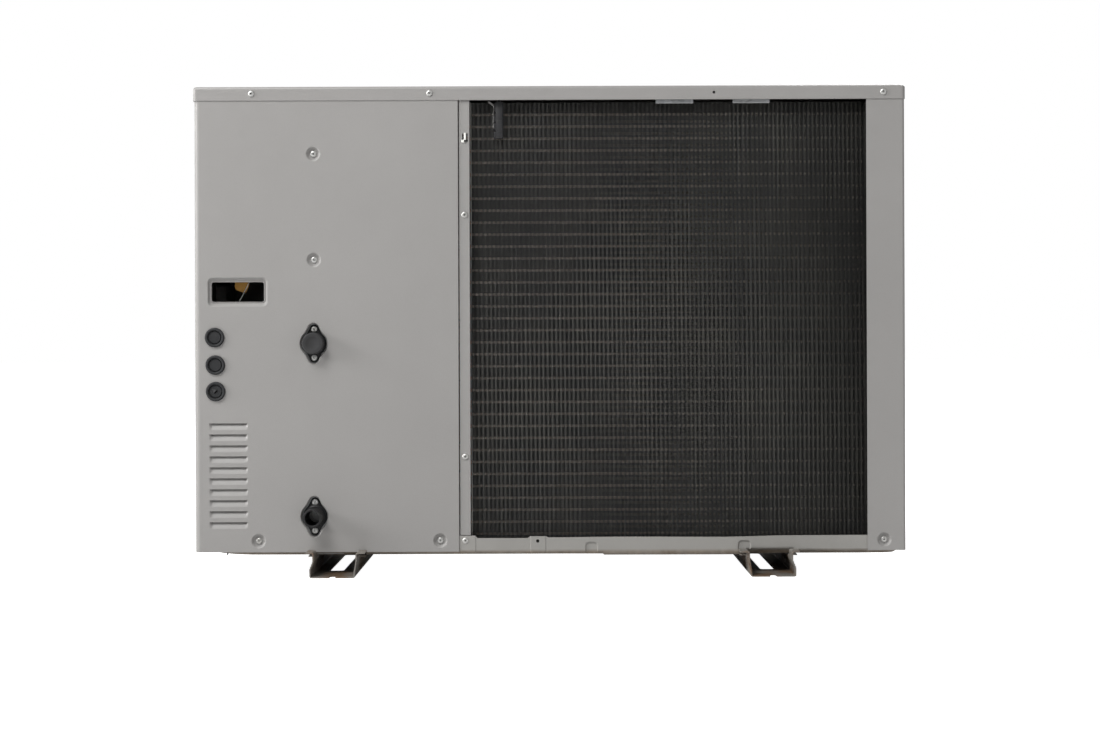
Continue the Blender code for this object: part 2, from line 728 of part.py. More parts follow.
def service_panel():
    """Removable panel over the front left corner, with a pressed grip on the side."""
    finish = casing_paint()
    corner = (-PANEL_X + CORNER_RADIUS, PANEL_Y - CORNER_RADIUS)
    path = [(-PANEL_X, SIDE_SPLIT_Y + 0.001)] + arc(corner, CORNER_RADIUS, 180, 90, 5)
    path += [(REAR_PANEL_EDGE, PANEL_Y)]
    panel = folded_sheet("service_panel", finish, "xy", path, PANEL_BOTTOM, PANEL_TOP, SHEET, 1)
    grip = rounded_rectangle((GRIP_Y, HAND_HOLE_Z), GRIP_SIZE, 0.006)
    shell_size = (GRIP_SIZE[0] + 2 * SHEET, GRIP_SIZE[1] + 2 * SHEET)
    shell = rounded_rectangle((GRIP_Y, HAND_HOLE_Z), shell_size, 0.007)
    unite(panel, prism("grip_shell", finish, "yz", [shell], -PANEL_X + 0.0003, -PANEL_X + GRIP_DEPTH + SHEET))
    cut(panel, prism("grip_pocket", finish, "yz", [grip], -PANEL_X - 0.01, -PANEL_X + GRIP_DEPTH))
    return panel


def front_panel():
    """Panel in front of the fan with its round opening; it returns a little way round the right corner."""
    finish = casing_paint()
    corner = (PANEL_X - CORNER_RADIUS, PANEL_Y - CORNER_RADIUS)
    path = [(REAR_PANEL_EDGE + 0.001, PANEL_Y)] + arc(corner, CORNER_RADIUS, 90, 0, 5) + [(PANEL_X, 0.156)]
    panel = folded_sheet("front_panel", finish, "xy", path, PANEL_BOTTOM, PANEL_TOP, SHEET, 1)
    start = (FAN_X, PANEL_Y - 0.01, FAN_Z)
    end = (FAN_X, PANEL_Y + 0.01, FAN_Z)
    cut(panel, rods("fan_opening", finish, (start, end, SHROUD_RADIUS), segments=40))
    return panel


def centre_post():
    """Narrow channel between the rear panel and the coil opening."""
    finish = casing_paint()
    face = REAR_Y + POST_RECESS
    path = [(POST_LEFT, face + 0.018), (POST_LEFT, face), (POST_RIGHT, face), (POST_RIGHT, face + 0.016)]
    post = folded_sheet("centre_post", finish, "xy", path, PAN_RIM + 0.0006, PANEL_TOP, SHEET, -1)
    middle = (POST_LEFT + POST_RIGHT) / 2
    holes = [((middle, face - 0.005, z), (middle, face + 0.005, z), SCREW_HOLE_RADIUS) for z in POST_SCREWS_Z]
    cut(post, rods("post_screw_holes", finish, *holes))
    slot = ((middle - 0.004, face - 0.005, 0.7545), (middle + 0.004, face + 0.005, 0.7695))
    cut(post, boxes("clip_slot", finish, slot))
    return post


def partition():
    """Wall between the machine compartment and the fan compartment, folded at its front edge."""
    front = PANEL_Y - 0.0045
    path = [(PARTITION_X - 0.022, front), (PARTITION_X, front), (PARTITION_X, -0.118)]
    bottom = PAN_BOTTOM + PAN_SHEET + GAP
    return folded_sheet("partition", galvanised(), "xy", path, bottom, COIL_TOP, SHEET, 1)


# ---------------------------------------------------------------- coil

def coil_block():
    """Finned block in an L: across the rear opening and round the right corner, along the side."""
    face = REAR_Y + COIL_FACE
    outer = (COIL_SIDE_X - COIL_BEND_RADIUS, face + COIL_BEND_RADIUS)
    outline = [(COIL_LEFT, face)] + arc(outer, COIL_BEND_RADIUS, 270, 360, 10)
    outline += [(COIL_SIDE_X, COIL_SIDE_END_Y), (COIL_SIDE_X - COIL_THICK, COIL_SIDE_END_Y)]
    outline += arc(outer, COIL_BEND_RADIUS - COIL_THICK, 360, 270, 10) + [(COIL_LEFT, face + COIL_THICK)]
    return prism("evaporator_coil", coil_fins(), "xy", [outline], COIL_BOTTOM, COIL_TOP)


def coil_end_plate():
    face = REAR_Y + COIL_FACE - 0.0015
    low = (PARTITION_X, face, COIL_BOTTOM)
    high = (COIL_LEFT - GAP, face + COIL_THICK + 0.003, COIL_TOP)
    return boxes("coil_end_plate", galvanised(), (low, high))


def coil_header():
    """Upright manifold beside the coil's end, with a branch to each circuit and its feed pipe."""
    x = HEADER_X
    y = HEADER_Y
    bottom, top = HEADER_ENDS_Z
    header = rods("coil_header", copper(), ((x, y, bottom), (x, y, top), HEADER_RADIUS))
    for number in range(HEADER_BRANCHES):
        z = HEADER_BRANCH_BOTTOM + number * HEADER_BRANCH_PITCH
        branch = ((x, y, z), (PARTITION_X - GAP, y, z), BRANCH_RADIUS)
        unite(header, rods(f"header_branch_{number}", copper(), branch, segments=12))
    vx, vy, vz = EXPANSION_VALVE_PLACE
    feed = [(vx, vy, vz - EXPANSION_OUTLET_DROP - 0.0005), (vx, vy, 0.220), (-0.200, -0.110, 0.160),
            (x, y, bottom - 0.030), (x, y, bottom + 0.005)]
    unite(header, tube_mesh("coil_feed_pipe", copper(), bent_route(feed, 0.012), SMALL_PIPE))
    return header


def coil_hook(name, left, right):
    """Folded tab that hangs from the cover in front of the coil's top edge."""
    face = REAR_Y + 0.0045
    shelf = COIL_TOP + 0.012
    path = [(face, COIL_TOP - 0.004), (face, shelf), (REAR_Y + 0.045, shelf)]
    return folded_sheet(name, galvanised(), "yz", path, left, right, SHEET, -1)


def sensor_clip():
    """Plastic bar clipped to the coil's face, with a small wing on each side near its top."""
    front = REAR_Y + COIL_FACE - GAP
    bar = ((-0.0930, front - 0.011, 0.7600), (-0.0810, front, 0.8240))
    wings = ((-0.0970, front - 0.006, 0.8060), (-0.0770, front - 0.0015, 0.8200))
    clip = join_boxes("sensor_clip", black_plastic(), bar, wings)
    round_edges(clip, 0.0008, 1)
    return clip


def sensor_lead():
    """Thin lead that leaves the top of the sensor clip and runs over the coil into the machine side."""
    y = REAR_Y + COIL_FACE - 0.006
    route = bent_route([
        (-0.0870, y, 0.8243 + GAP), (-0.0880, y, 0.8300), (-0.1000, y + 0.006, 0.8350),
        (-0.1300, -0.150, 0.8330), (-0.1800, -0.135, 0.8300)], 0.004, 3)
    return tube("sensor_lead", black_rubber(), route, 0.0012)


def retainer_clip():
    """White plastic clip snapped into the slot of the centre post."""
    face = REAR_Y + POST_RECESS
    middle = (POST_LEFT + POST_RIGHT) / 2
    head = ((middle - 0.0050, face - GAP - 0.0015, 0.7525), (middle + 0.0050, face - GAP, 0.7715))
    tongue = ((middle - 0.0035, face - GAP - 0.0005, 0.7550), (middle + 0.0035, face + 0.006, 0.7690))
    return join_boxes("retainer_clip", white_plastic(), head, tongue)


# ---------------------------------------------------------------- fan

def fan_grille():
    """Flat guard in front of the fan: a round frame, level bars across it and two upright ribs."""
    back = PANEL_Y + GAP
    outer = GRILLE_FRAME_RADIUS
    inner = SHROUD_RADIUS - 0.004
    front = back + GRILLE_FRAME_DEPTH
    frame = [(inner, -back), (inner, -front), (outer - 0.005, -front), (outer, -front + 0.004),
             (outer, -back)]
    grille = turned("fan_grille", black_plastic(), frame, (FAN_X, 0.0, FAN_Z), "y", 40, ring=True)
    reach = SHROUD_RADIUS + 0.002
    thick = GRILLE_BAR_THICK / 2
    bars = []
    for row in range(-GRILLE_BAR_ROWS, GRILLE_BAR_ROWS + 1):
        z = FAN_Z + row * GRILLE_BAR_PITCH
        half = math.sqrt(reach ** 2 - (abs(z - FAN_Z) + thick) ** 2)
        bars.append(((FAN_X - half, back + 0.003, z - thick), (FAN_X + half, back + 0.011, z + thick)))
    unite(grille, boxes("grille_bars", black_plastic(), *bars))
    thick = GRILLE_RIB_THICK / 2
    ribs = []
    for x in GRILLE_RIBS_X:
        half = math.sqrt(reach ** 2 - (abs(x) + thick) ** 2)
        low = (FAN_X + x - thick, back + 0.0045, FAN_Z - half)
        ribs.append((low, (FAN_X + x + thick, back + 0.0095, FAN_Z + half)))
    unite(grille, boxes("grille_ribs", black_plastic(), *ribs))
    return grille


def fan_shroud():
    """Bell-mouthed ring fixed behind the front panel, round the fan's blade tips."""
    front = PANEL_Y - SHEET - GAP
    r = SHROUD_RADIUS
    outer = [(r + 0.040, -front), (r + 0.040, -front + 0.0015), (r + 0.0025, -front + 0.0015),
             (r + 0.0025, -front + 0.060), (r + 0.018, -front + 0.076)]
    inner = [(r + 0.018, -front + 0.0785), (r, -front + 0.061), (r, -front)]
    loop = list(reversed(outer + inner))
    return turned("fan_shroud", black_plastic(), loop, (FAN_X, 0.0, FAN_Z), "y", 40, ring=True)


def fan_motor():
    """Round motor body with a bearing boss on its front and a clear hole for the shaft."""
    rear = -MOTOR_REAR_Y
    front = -MOTOR_FRONT_Y
    r = MOTOR_RADIUS
    bore = SHAFT_RADIUS + 0.0005
    boss = 0.018
    loop = [(bore, rear), (r - 0.006, rear), (r, rear - 0.006), (r, front + 0.008), (r - 0.008, front),
            (boss, front), (boss, front - 0.006), (bore, front - 0.006)]
    return turned("fan_motor", galvanised(), loop, (FAN_X, 0.0, FAN_Z), "y", 24, ring=True)


def motor_shaft():
    """Shaft from inside the motor to the fan's nut."""
    start = -MOTOR_REAR_Y - 0.004
    end = -FAN_Y - 0.024
    r = SHAFT_RADIUS
    profile = [(0.0, start), (r, start), (r, end + 0.001), (r - 0.001, end), (0.0, end)]
    return turned("motor_shaft", screw_steel(), profile, (FAN_X, 0.0, FAN_Z), "y", 14)


def motor_bracket():
    """Two uprights from the pan to the top, tied by cross bars that carry the motor's back."""
    back = MOTOR_REAR_Y - GAP
    bottom = PAN_BOTTOM + PAN_SHEET + GAP
    uprights = []
    for side in (-1, 1):
        x = FAN_X + side * 0.050
        uprights.append(((x - 0.011, back - 0.018, bottom), (x + 0.011, back, COIL_TOP)))
    bars = []
    for z in (FAN_Z - 0.045, FAN_Z + 0.045):
        bars.append(((FAN_X - 0.045, back - 0.004, z - 0.012), (FAN_X + 0.045, back - 0.001, z + 0.012)))
    top_low = (FAN_X - 0.120, back - 0.015, COIL_TOP - 0.003)
    top_bar = (top_low, (FAN_X + 0.120, back - 0.003, COIL_TOP + 0.002))
    return join_boxes("motor_bracket", galvanised(), *uprights[:1], *bars, top_bar, uprights[1])


def blade_point(along, across, half_thick):
    """A point of a fan blade: along runs from the hub to the tip, across from leading to trailing edge."""
    inner = HUB_RADIUS - 0.008
    radius = inner + (FAN_RADIUS - inner) * along
    sweep = 0.42 * along ** 1.4
    chord = 1.05 + 0.16 * math.sin(math.pi * along)
    turn = sweep + chord * (across - 0.5)
    pitch = 0.062 - 0.012 * along
    lift = pitch * (across - 0.5) + 0.010 * math.sin(math.pi * across) * along
    edge = math.sin(math.pi * min(max(across, 0.0), 1.0)) ** 0.5
    thick = half_thick * (0.35 + 0.65 * edge)
    return radius, turn, lift, thick


def fan_blade(number):
    """One twisted, swept blade as a closed grid."""
    rows = 5
    columns = 6
    bm = bmesh.new()
    sheets = []
    for side in (-1, 1):
        sheet = []
        for i in range(rows + 1):
            row = []
            for j in range(columns + 1):
                radius, turn, lift, thick = blade_point(i / rows, j / columns, 0.0018)
                a = turn + number * 2 * math.pi / BLADE_COUNT
                row.append(bm.verts.new((radius * math.cos(a), lift + side * thick, radius * math.sin(a))))
            sheet.append(row)
        sheets.append(sheet)
    for sheet in sheets:
        for i in range(rows):
            for j in range(columns):
                bm.faces.new((sheet[i][j], sheet[i + 1][j], sheet[i + 1][j + 1], sheet[i][j + 1]))
    rim = [(i, 0) for i in range(rows)] + [(rows, j) for j in range(columns)]
    rim += [(i, columns) for i in range(rows, 0, -1)] + [(0, j) for j in range(columns, 0, -1)]
    for (i, j), (k, l) in zip(rim, rim[1:] + rim[:1]):
        bm.faces.new((sheets[0][i][j], sheets[0][k][l], sheets[1][k][l], sheets[1][i][j]))
    name = f"fan_blade_{number}"
    return place(name, mesh_from(bm, name), black_plastic(), (FAN_X, FAN_Y, FAN_Z))


def fan_rotor():
    """Moulded hub with its blades; it turns about the motor's axis."""
    bore = SHAFT_RADIUS + GAP
    r = HUB_RADIUS
    loop = [(bore, 0.034), (r - 0.004, 0.034), (r, 0.030), (r, -0.006), (r - 0.014, -0.014), (bore, -0.014)]
    rotor = turned("fan_rotor", black_plastic(), loop, (FAN_X, FAN_Y, FAN_Z), "y", 24, ring=True)
    for number in range(BLADE_COUNT):
        unite(rotor, fan_blade(number))
    return rotor


def fan_nut():
    """Hexagonal nut that holds the fan on its shaft."""
    front = FAN_Y + 0.014 + GAP
    bm = bmesh.new()
    hexagon = arc((FAN_X, FAN_Z), 0.0115, 0, 300, 5)
    add_prism(bm, "xz", hexagon, front, front + 0.009)
    nut = place("fan_nut", mesh_from(bm, "fan_nut"), black_plastic())
    hole = ((FAN_X, front - 0.01, FAN_Z), (FAN_X, front + 0.02, FAN_Z), SHAFT_RADIUS + GAP)
    cut(nut, rods("nut_bore", black_plastic(), hole, segments=20))
    return nut


# ---------------------------------------------------------------- water connections

def union_body(name, spot, stub_length):
    """Rhombus flange with an open stub to the rear and a neck that runs in to the heat exchanger."""
    x, z = spot
    front = REAR_Y + UNION_FLANGE_BACK
    back = front + UNION_FLANGE_THICK
    body = prism(name, black_plastic(), "xz", [rhombus(spot)], front, back)
    r = STUB_RADIUS
    neck_end = -back - 0.017
    tip = -front + stub_length
    profile = [(0.0, neck_end), (0.0145, neck_end), (0.0145, -back + 0.001), (0.0195, -front + 0.0005),
               (0.0195, -front + 0.003), (r, -front + 0.005), (r, tip - 0.001), (r - 0.001, tip), (0.0, tip)]
    profile.reverse()
    unite(body, turned(name + "_stub", black_plastic(), profile, (x, 0.0, z), "y", 20))
    cut(body, rods(name + "_bore", black_plastic(),
                   ((x, front - stub_length - 0.01, z), (x, back + 0.03, z), STUB_BORE), segments=20))
    holes = [((x, front - 0.01, z + dz), (x, back + 0.01, z + dz), SCREW_HOLE_RADIUS)
             for dz in (-UNION_EAR_OFFSET, UNION_EAR_OFFSET)]
    cut(body, rods(name + "_screw_holes", black_plastic(), *holes, segments=10))
    return body


def union_cap():
    """Push-on cap over the upper stub; its origin lies on the stub's axis."""
    x, z = UNION_UPPER
    front = REAR_Y + UNION_FLANGE_BACK
    r = CAP_RADIUS
    inside = STUB_RADIUS + GAP
    low = 0.0055
    wall_end = CAP_LENGTH - 0.0025
    profile = [(0.0, CAP_LENGTH), (r - 0.0015, CAP_LENGTH), (r, CAP_LENGTH - 0.0015), (r, low), (inside, low),
               (inside, wall_end), (0.0, wall_end)]
    return turned("union_cap", black_rubber(), profile, (x, front, z), "y", 24)


def union_bracket():
    """Upright steel plate behind the rear panel that both unions are screwed to."""
    face = REAR_Y + UNION_FLANGE_BACK + UNION_FLANGE_THICK + GAP
    low = (UNION_UPPER[0] - 0.050, face, PAN_BOTTOM + PAN_SHEET + GAP)
    high = (UNION_UPPER[0] + 0.050, face + 0.0015, UNION_UPPER[1] + 0.055)
    bracket = boxes("union_bracket", galvanised(), (low, high))
    holes = []
    for x, z in (UNION_UPPER, UNION_LOWER):
        holes.append(((x, face - 0.01, z), (x, face + 0.01, z), STUB_BORE + 0.003))
        for dz in (-UNION_EAR_OFFSET, UNION_EAR_OFFSET):
            holes.append(((x, face - 0.01, z + dz), (x, face + 0.01, z + dz), SCREW_HOLE_RADIUS))
    cut(bracket, rods("bracket_holes", galvanised(), *holes, segments=14))
    return bracket


# ---------------------------------------------------------------- machine compartment

def compressor():
    """Welded steel can with domed ends, standing on a three-cornered foot plate."""
    x, y = COMPRESSOR_PLACE
    r = COMPRESSOR_RADIUS
    low = COMPRESSOR_BOTTOM
    high = COMPRESSOR_TOP
    profile = [(0.0, high), (0.030, high - 0.003), (0.050, high - 0.014), (r, high - 0.030),
               (r, high - 0.036), (r - 0.0015, high - 0.038), (r - 0.0015, low + 0.030), (0.054, low + 0.012),
               (0.030, low + 0.004), (0.0, low + 0.002)]
    can = turned("compressor", black_paint(), profile, (x, y, 0.0), "z", 20)
    plate = []
    for number in range(3):
        plate += arc(foot_spot(number), 0.019, number * 120 - 10, number * 120 + 130, 5)
    under = low + COMPRESSOR_PLATE_LIFT
    base = prism("compressor_plate", black_paint(), "xy", [plate], under, under + 0.004)
    holes = [((*foot_spot(k), low), (*foot_spot(k), low + 0.03), 0.0085) for k in range(3)]
    cut(base, rods("plate_holes", black_paint(), *holes, segments=12))
    unite(can, base)
    neck = ((x, y, high - 0.01), (x, y, high + COMPRESSOR_NECK), 0.006)
    unite(can, rods("compressor_neck", black_paint(), neck, segments=12))
    return can


def foot_spot(number):
    """Centre of one of the three rubber feet, on a circle round the compressor."""
    angle = math.radians(number * 120 + 60)
    x, y = COMPRESSOR_PLACE
    return (x + FOOT_CIRCLE * math.cos(angle), y + FOOT_CIRCLE * math.sin(angle))


def compressor_foot(number):
    """Rubber mount: a waisted bush that grips the foot plate and stands on the pan."""
    low = PAN_BOTTOM + PAN_SHEET + GAP
    plate = COMPRESSOR_BOTTOM + COMPRESSOR_PLATE_LIFT - GAP
    profile = [(0.0, plate + 0.012), (0.008, plate + 0.012), (0.008, plate), (0.014, plate),
               (0.013, plate - 0.010), (0.016, low), (0.0, low)]
    spot = (*foot_spot(number), 0.0)
    return turned(f"compressor_foot_{number + 1}", black_rubber(), profile, spot, "z", 12)


def accumulator():
    """Upright suction bottle beside the compressor."""
    x, y = ACCUMULATOR_PLACE
    profile = [(0.0, 0.300), (0.018, 0.297), (0.030, 0.286), (0.033, 0.272), (0.033, 0.118), (0.030, 0.104),
               (0.018, 0.093), (0.0, 0.090)]
    bottle = turned("accumulator", black_paint(), profile, (x, y, 0.0), "z", 16)
    neck = ((x, y, ACCUMULATOR_TOP - 0.020), (x, y, ACCUMULATOR_TOP), 0.008)
    unite(bottle, rods("accumulator_neck", black_paint(), neck, segments=12))
    return bottle


def reversing_valve():
    """Lying valve cylinder with one pipe stub above it and three below."""
    x = REVERSING_VALVE_X
    y = COMPRESSOR_PLACE[1]
    z = REVERSING_VALVE_Z
    pitch = REVERSING_VALVE_PITCH
    reach = REVERSING_VALVE_STUB
    cylinder = ((x - 2 * pitch, y, z), (x + 2 * pitch, y, z), 0.016)
    valve = rods("reversing_valve", brass(), cylinder, segments=20)
    stubs = [((x, y, z), (x, y, z + reach), 0.006)]
    stubs += [((x + side * pitch, y, z), (x + side * pitch, y, z - reach), 0.006) for side in (-1, 0, 1)]
    for number, stub in enumerate(stubs):
        unite(valve, rods(f"valve_stub_{number}", brass(), stub, segments=12))
    pilot = ((x - 0.040, y - 0.026, z), (x + 0.040, y - 0.026, z), 0.007)
    unite(valve, rods("valve_pilot", brass(), pilot, segments=12))
    saddle = ((x - 0.010, y - 0.028, z - 0.004), (x + 0.010, y - 0.008, z + 0.004))
    unite(valve, boxes("valve_saddle", brass(), saddle))
    return valve


def expansion_valve():
    """Small upright valve body with its round coil on top and two pipe stubs."""
    x, y, z = EXPANSION_VALVE_PLACE
    profile = [(0.0, 0.070), (0.017, 0.070), (0.019, 0.067), (0.019, 0.040), (0.010, 0.038), (0.010, 0.0),
               (0.0, 0.0)]
    valve = turned("expansion_valve", brass(), profile, (x, y, z), "z", 20)
    outlet = ((x, y, z - EXPANSION_OUTLET_DROP), (x, y, z + 0.010), SMALL_PIPE)
    unite(valve, rods("valve_outlet", brass(), outlet, segments=12))
    level = z + EXPANSION_INLET_RISE
    inlet = ((x, y, level), (x - EXPANSION_INLET_REACH, y, level), SMALL_PIPE)
    unite(valve, rods("valve_inlet", brass(), inlet, segments=12))
    return valve


def plate_heat_exchanger():
    """Brazed stack of plates with two water ports to the rear and two refrigerant ports to the front."""
    x = UNION_UPPER[0]
    wide, deep = EXCHANGER_SIZE
    low = (x - wide / 2, EXCHANGER_REAR, EXCHANGER_ENDS_Z[0])
    high = (x + wide / 2, EXCHANGER_REAR + deep, EXCHANGER_ENDS_Z[1])
    stack = boxes("plate_heat_exchanger", screw_steel(), (low, high))
    round_edges(stack, 0.012, 2)
    for number, (px, pz) in enumerate((UNION_UPPER, UNION_LOWER)):
        port = ((px, WATER_PORT_START, pz), (px, EXCHANGER_REAR + 0.005, pz), WATER_PORT_RADIUS)
        unite(stack, rods(f"water_port_{number}", screw_steel(), port, segments=16))
        bore = ((px, WATER_PORT_START - 0.01, pz), (px, EXCHANGER_REAR + 0.025, pz), STUB_BORE)
        cut(stack, rods(f"water_port_bore_{number}", screw_steel(), bore, segments=16))
    px = x + GAS_PORT_OFFSET
    for number, (_, pz) in enumerate((UNION_LOWER, UNION_UPPER)):
        port = ((px, high[1] - 0.005, pz), (px, high[1] + GAS_PORT_REACH, pz), 0.008)
        unite(stack, rods(f"gas_port_{number}", screw_steel(), port, segments=12))
    return stack


def pipes():
    """Refrigerant pipes between the compressor, the valves, the heat exchanger and the coil."""
    cx, cy = COMPRESSOR_PLACE
    ax, ay = ACCUMULATOR_PLACE
    rx = REVERSING_VALVE_X
    below = REVERSING_VALVE_Z - REVERSING_VALVE_STUB - 0.0005
    above = REVERSING_VALVE_Z + REVERSING_VALVE_STUB + 0.0005
    start = COMPRESSOR_TOP + COMPRESSOR_NECK + 0.0005
    out_x = rx - REVERSING_VALVE_PITCH - 0.0005
    discharge = [(cx, cy, start), (cx, cy, 0.415), (out_x, cy, 0.420), (out_x, cy, below)]
    tube("discharge_pipe", copper(), bent_route(discharge, 0.003), SMALL_PIPE)
    in_x = rx + REVERSING_VALVE_PITCH
    suction = [(in_x, cy, below), (in_x, cy, 0.405), (-0.225, cy, 0.395), (ax, ay, 0.345),
               (ax, ay, ACCUMULATOR_TOP + 0.0005)]
    tube("suction_pipe", copper(), bent_route(suction, 0.010), 0.0055)
    hx = UNION_UPPER[0] + GAS_PORT_OFFSET
    hy = EXCHANGER_REAR + EXCHANGER_SIZE[1] + GAS_PORT_REACH + GAP
    low = UNION_LOWER[1]
    high = UNION_UPPER[1]
    vx, vy, vz = EXPANSION_VALVE_PLACE
    level = vz + EXPANSION_INLET_RISE
    liquid = [(hx, hy, low), (hx, hy + 0.018, low), (hx + 0.020, -0.030, 0.220), (-0.300, vy, level),
              (vx - EXPANSION_INLET_REACH - 0.0005, vy, level)]
    tube("liquid_pipe", copper(), bent_route(liquid, 0.010), SMALL_PIPE)
    gas = [(hx, hy, high), (hx, hy + 0.020, high), (hx, 0.010, 0.480), (-0.370, cy, 0.530), (rx, cy, 0.535),
           (rx, cy, above)]
    tube("gas_pipe", copper(), bent_route(gas, 0.012), 0.006)


# ---------------------------------------------------------------- electrics

def control_box():
    """Open-topped sheet tray above the machinery."""
    low = CONTROL_BOX_LOW
    high = CONTROL_BOX_HIGH
    box = boxes("control_box", galvanised(), (low, high))
    inner_low = tuple(v + BOX_SHEET for v in low)
    inner_high = (high[0] - BOX_SHEET, high[1] - BOX_SHEET, high[2] + 0.01)
    cut(box, boxes("control_box_inside", galvanised(), (inner_low, inner_high)))
    return box


def control_board():
    """Circuit board on its spacers, with its heat sink and largest components as blocks."""
    z = BOX_FLOOR
    board = ((-0.560, -0.110, z + 0.010), (-0.340, 0.120, z + 0.012))
    corners = [(x, y) for x in (-0.555, -0.353) for y in (-0.105, 0.107)]
    spacers = [((x, y, z), (x + 0.008, y + 0.008, z + 0.011)) for x, y in corners]
    blocks = [((-0.540, -0.090, z + 0.0115), (-0.480, 0.000, z + 0.045)),
              ((-0.460, -0.080, z + 0.0115), (-0.430, -0.050, z + 0.050)),
              ((-0.420, -0.080, z + 0.0115), (-0.390, -0.050, z + 0.050)),
              ((-0.460, 0.030, z + 0.0115), (-0.400, 0.080, z + 0.035))]
    return join_boxes("control_board", board_green(), board, *spacers, *blocks)


def terminal_block():
    """Row of screw terminals beside the board."""
    z = BOX_FLOOR
    base = ((-0.310, -0.120, z), (-0.270, 0.040, z + 0.012))
    starts = [-0.115 + k * TERMINAL_PITCH for k in range(TERMINAL_COUNT)]
    walls = [((-0.305, y, z + 0.011), (-0.275, y + 0.003, z + 0.026)) for y in starts]
    return join_boxes("terminal_block", black_plastic(), base, *walls)


def reactor():
    """Choke: a laminated core with its winding."""
    z = BOX_FLOOR
    core = ((-0.250, -0.040, z), (-0.190, 0.040, z + 0.060))
    winding = ((-0.258, -0.022, z + 0.008), (-0.182, 0.022, z + 0.052))
    plate = ((-0.254, -0.056, z), (-0.186, 0.056, z + 0.002))
    return join_boxes("reactor", black_paint(), core, winding, plate)


# ---------------------------------------------------------------- grommets and fasteners

def cable_grommet(number):
    """Rubber grommet with a dished membrane, snapped into its hole."""
    x, z = GROMMET_PLACES[number]
    r = GROMMET_RADIUS
    neck = GROMMET_HOLE_RADIUS - GAP
    profile = [(0.0, -0.0060), (r, -0.0060), (r, -SHEET - GAP), (neck, -SHEET - GAP), (neck, GAP), (r, GAP),
               (r, 0.0022), (r - 0.0012, 0.0035), (0.0128, 0.0035), (0.0118, 0.0010), (0.0, 0.0010)]
    profile.reverse()
    return turned(f"cable_grommet_{number + 1}", black_rubber(), profile, (x, REAR_Y, z), "y", 14)


def pan_head_screw(name, x, y, z, length):
    """Pan-head screw that faces the rear, seated with its head against y."""
    r = SCREW_HEAD_RADIUS
    shank = SCREW_SHANK_RADIUS
    profile = [(0.0, SCREW_HEAD_HEIGHT), (r * 0.75, SCREW_HEAD_HEIGHT), (r, GAP), (shank, GAP),
               (shank, -length), (0.0, -length)]
    return turned(name, screw_steel(), profile, (x, y, z), "y", 8)


def fasteners():
    """Screws of the cover, the dimpled seats and the unions."""
    for number, x in enumerate(COVER_SCREWS_X):
        pan_head_screw(f"cover_screw_{number + 1}", x, -CASE_DEPTH / 2, COVER_SCREW_Z, 0.006)
    for number, (x, z) in enumerate(PANEL_DIMPLES + (RETURN_DIMPLE,)):
        pan_head_screw(f"panel_screw_{number + 1}", x, REAR_Y + DIMPLE_DEPTH, z, 0.006)
    number = 1
    for x, z in (UNION_UPPER, UNION_LOWER):
        for dz in (UNION_EAR_OFFSET, -UNION_EAR_OFFSET):
            pan_head_screw(f"union_screw_{number}", x, REAR_Y + UNION_FLANGE_BACK, z + dz, 0.010)
            number += 1


# ---------------------------------------------------------------- whole unit

def build():
    clear_scene()
    base_pan()
    for rail in FOOT_RAILS:
        foot_rail(*rail)
    top_cover()
    rear_panel()
    right_side_panel()
    service_panel()
    front_panel()
    centre_post()
    partition()
    coil_block()
    coil_end_plate()
    coil_header()
    coil_hook("coil_hook_left", 0.186, 0.251)
    coil_hook("coil_hook_right", 0.320, 0.384)
    sensor_clip()
    sensor_lead()
    retainer_clip()
    fan_grille()
    fan_shroud()
    fan_motor()
    motor_shaft()
    motor_bracket()
    fan_rotor()
    fan_nut()
    union_body("water_outlet_union", UNION_UPPER, STUB_LENGTH_UPPER)
    union_body("water_inlet_union", UNION_LOWER, STUB_LENGTH_LOWER)
    union_cap()
    union_bracket()
    compressor()
    for number in range(3):
        compressor_foot(number)
        cable_grommet(number)
    accumulator()
    reversing_valve()
    expansion_valve()
    plate_heat_exchanger()
    pipes()
    control_box()
    control_board()
    terminal_block()
    reactor()
    fasteners()


build()
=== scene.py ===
"""Looks of the heat pump unit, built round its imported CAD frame.

Metres, +Z up.  The coil and the water connections face -Y (the rear), the fan faces +Y, and +X is to the
right seen from the rear.  Sheet metal is drawn as one surface with its pressed features, then thickened.
"""

import json
import math
import random

import bmesh
import bpy
from mathutils import Matrix, Vector
from mathutils.geometry import delaunay_2d_cdt


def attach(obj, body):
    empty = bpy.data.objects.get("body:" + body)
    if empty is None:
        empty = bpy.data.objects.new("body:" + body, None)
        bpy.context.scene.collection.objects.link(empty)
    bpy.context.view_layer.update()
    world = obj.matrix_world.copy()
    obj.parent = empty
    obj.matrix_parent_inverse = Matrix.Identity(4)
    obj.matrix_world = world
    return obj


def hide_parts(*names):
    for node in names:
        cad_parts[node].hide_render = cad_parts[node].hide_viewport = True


# Casing
WIDTH = 1.240
DEPTH = 0.370
HEIGHT = 0.850
SHEET = 0.0010
COVER_SKIRT = 0.0248
PANEL_X = 0.6185
PANEL_Y = 0.1835
REAR_Y = -PANEL_Y
PANEL_BOTTOM = 0.040
PANEL_TOP = 0.844
SIDE_SPLIT_Y = -0.010
REAR_PANEL_EDGE = -0.1584
RIGHT_RETURN_EDGE = 0.550
HOLD = 0.0006
BEND_STEPS = 10
FOLD_ANGLE = 32
MERGE = 0.000004

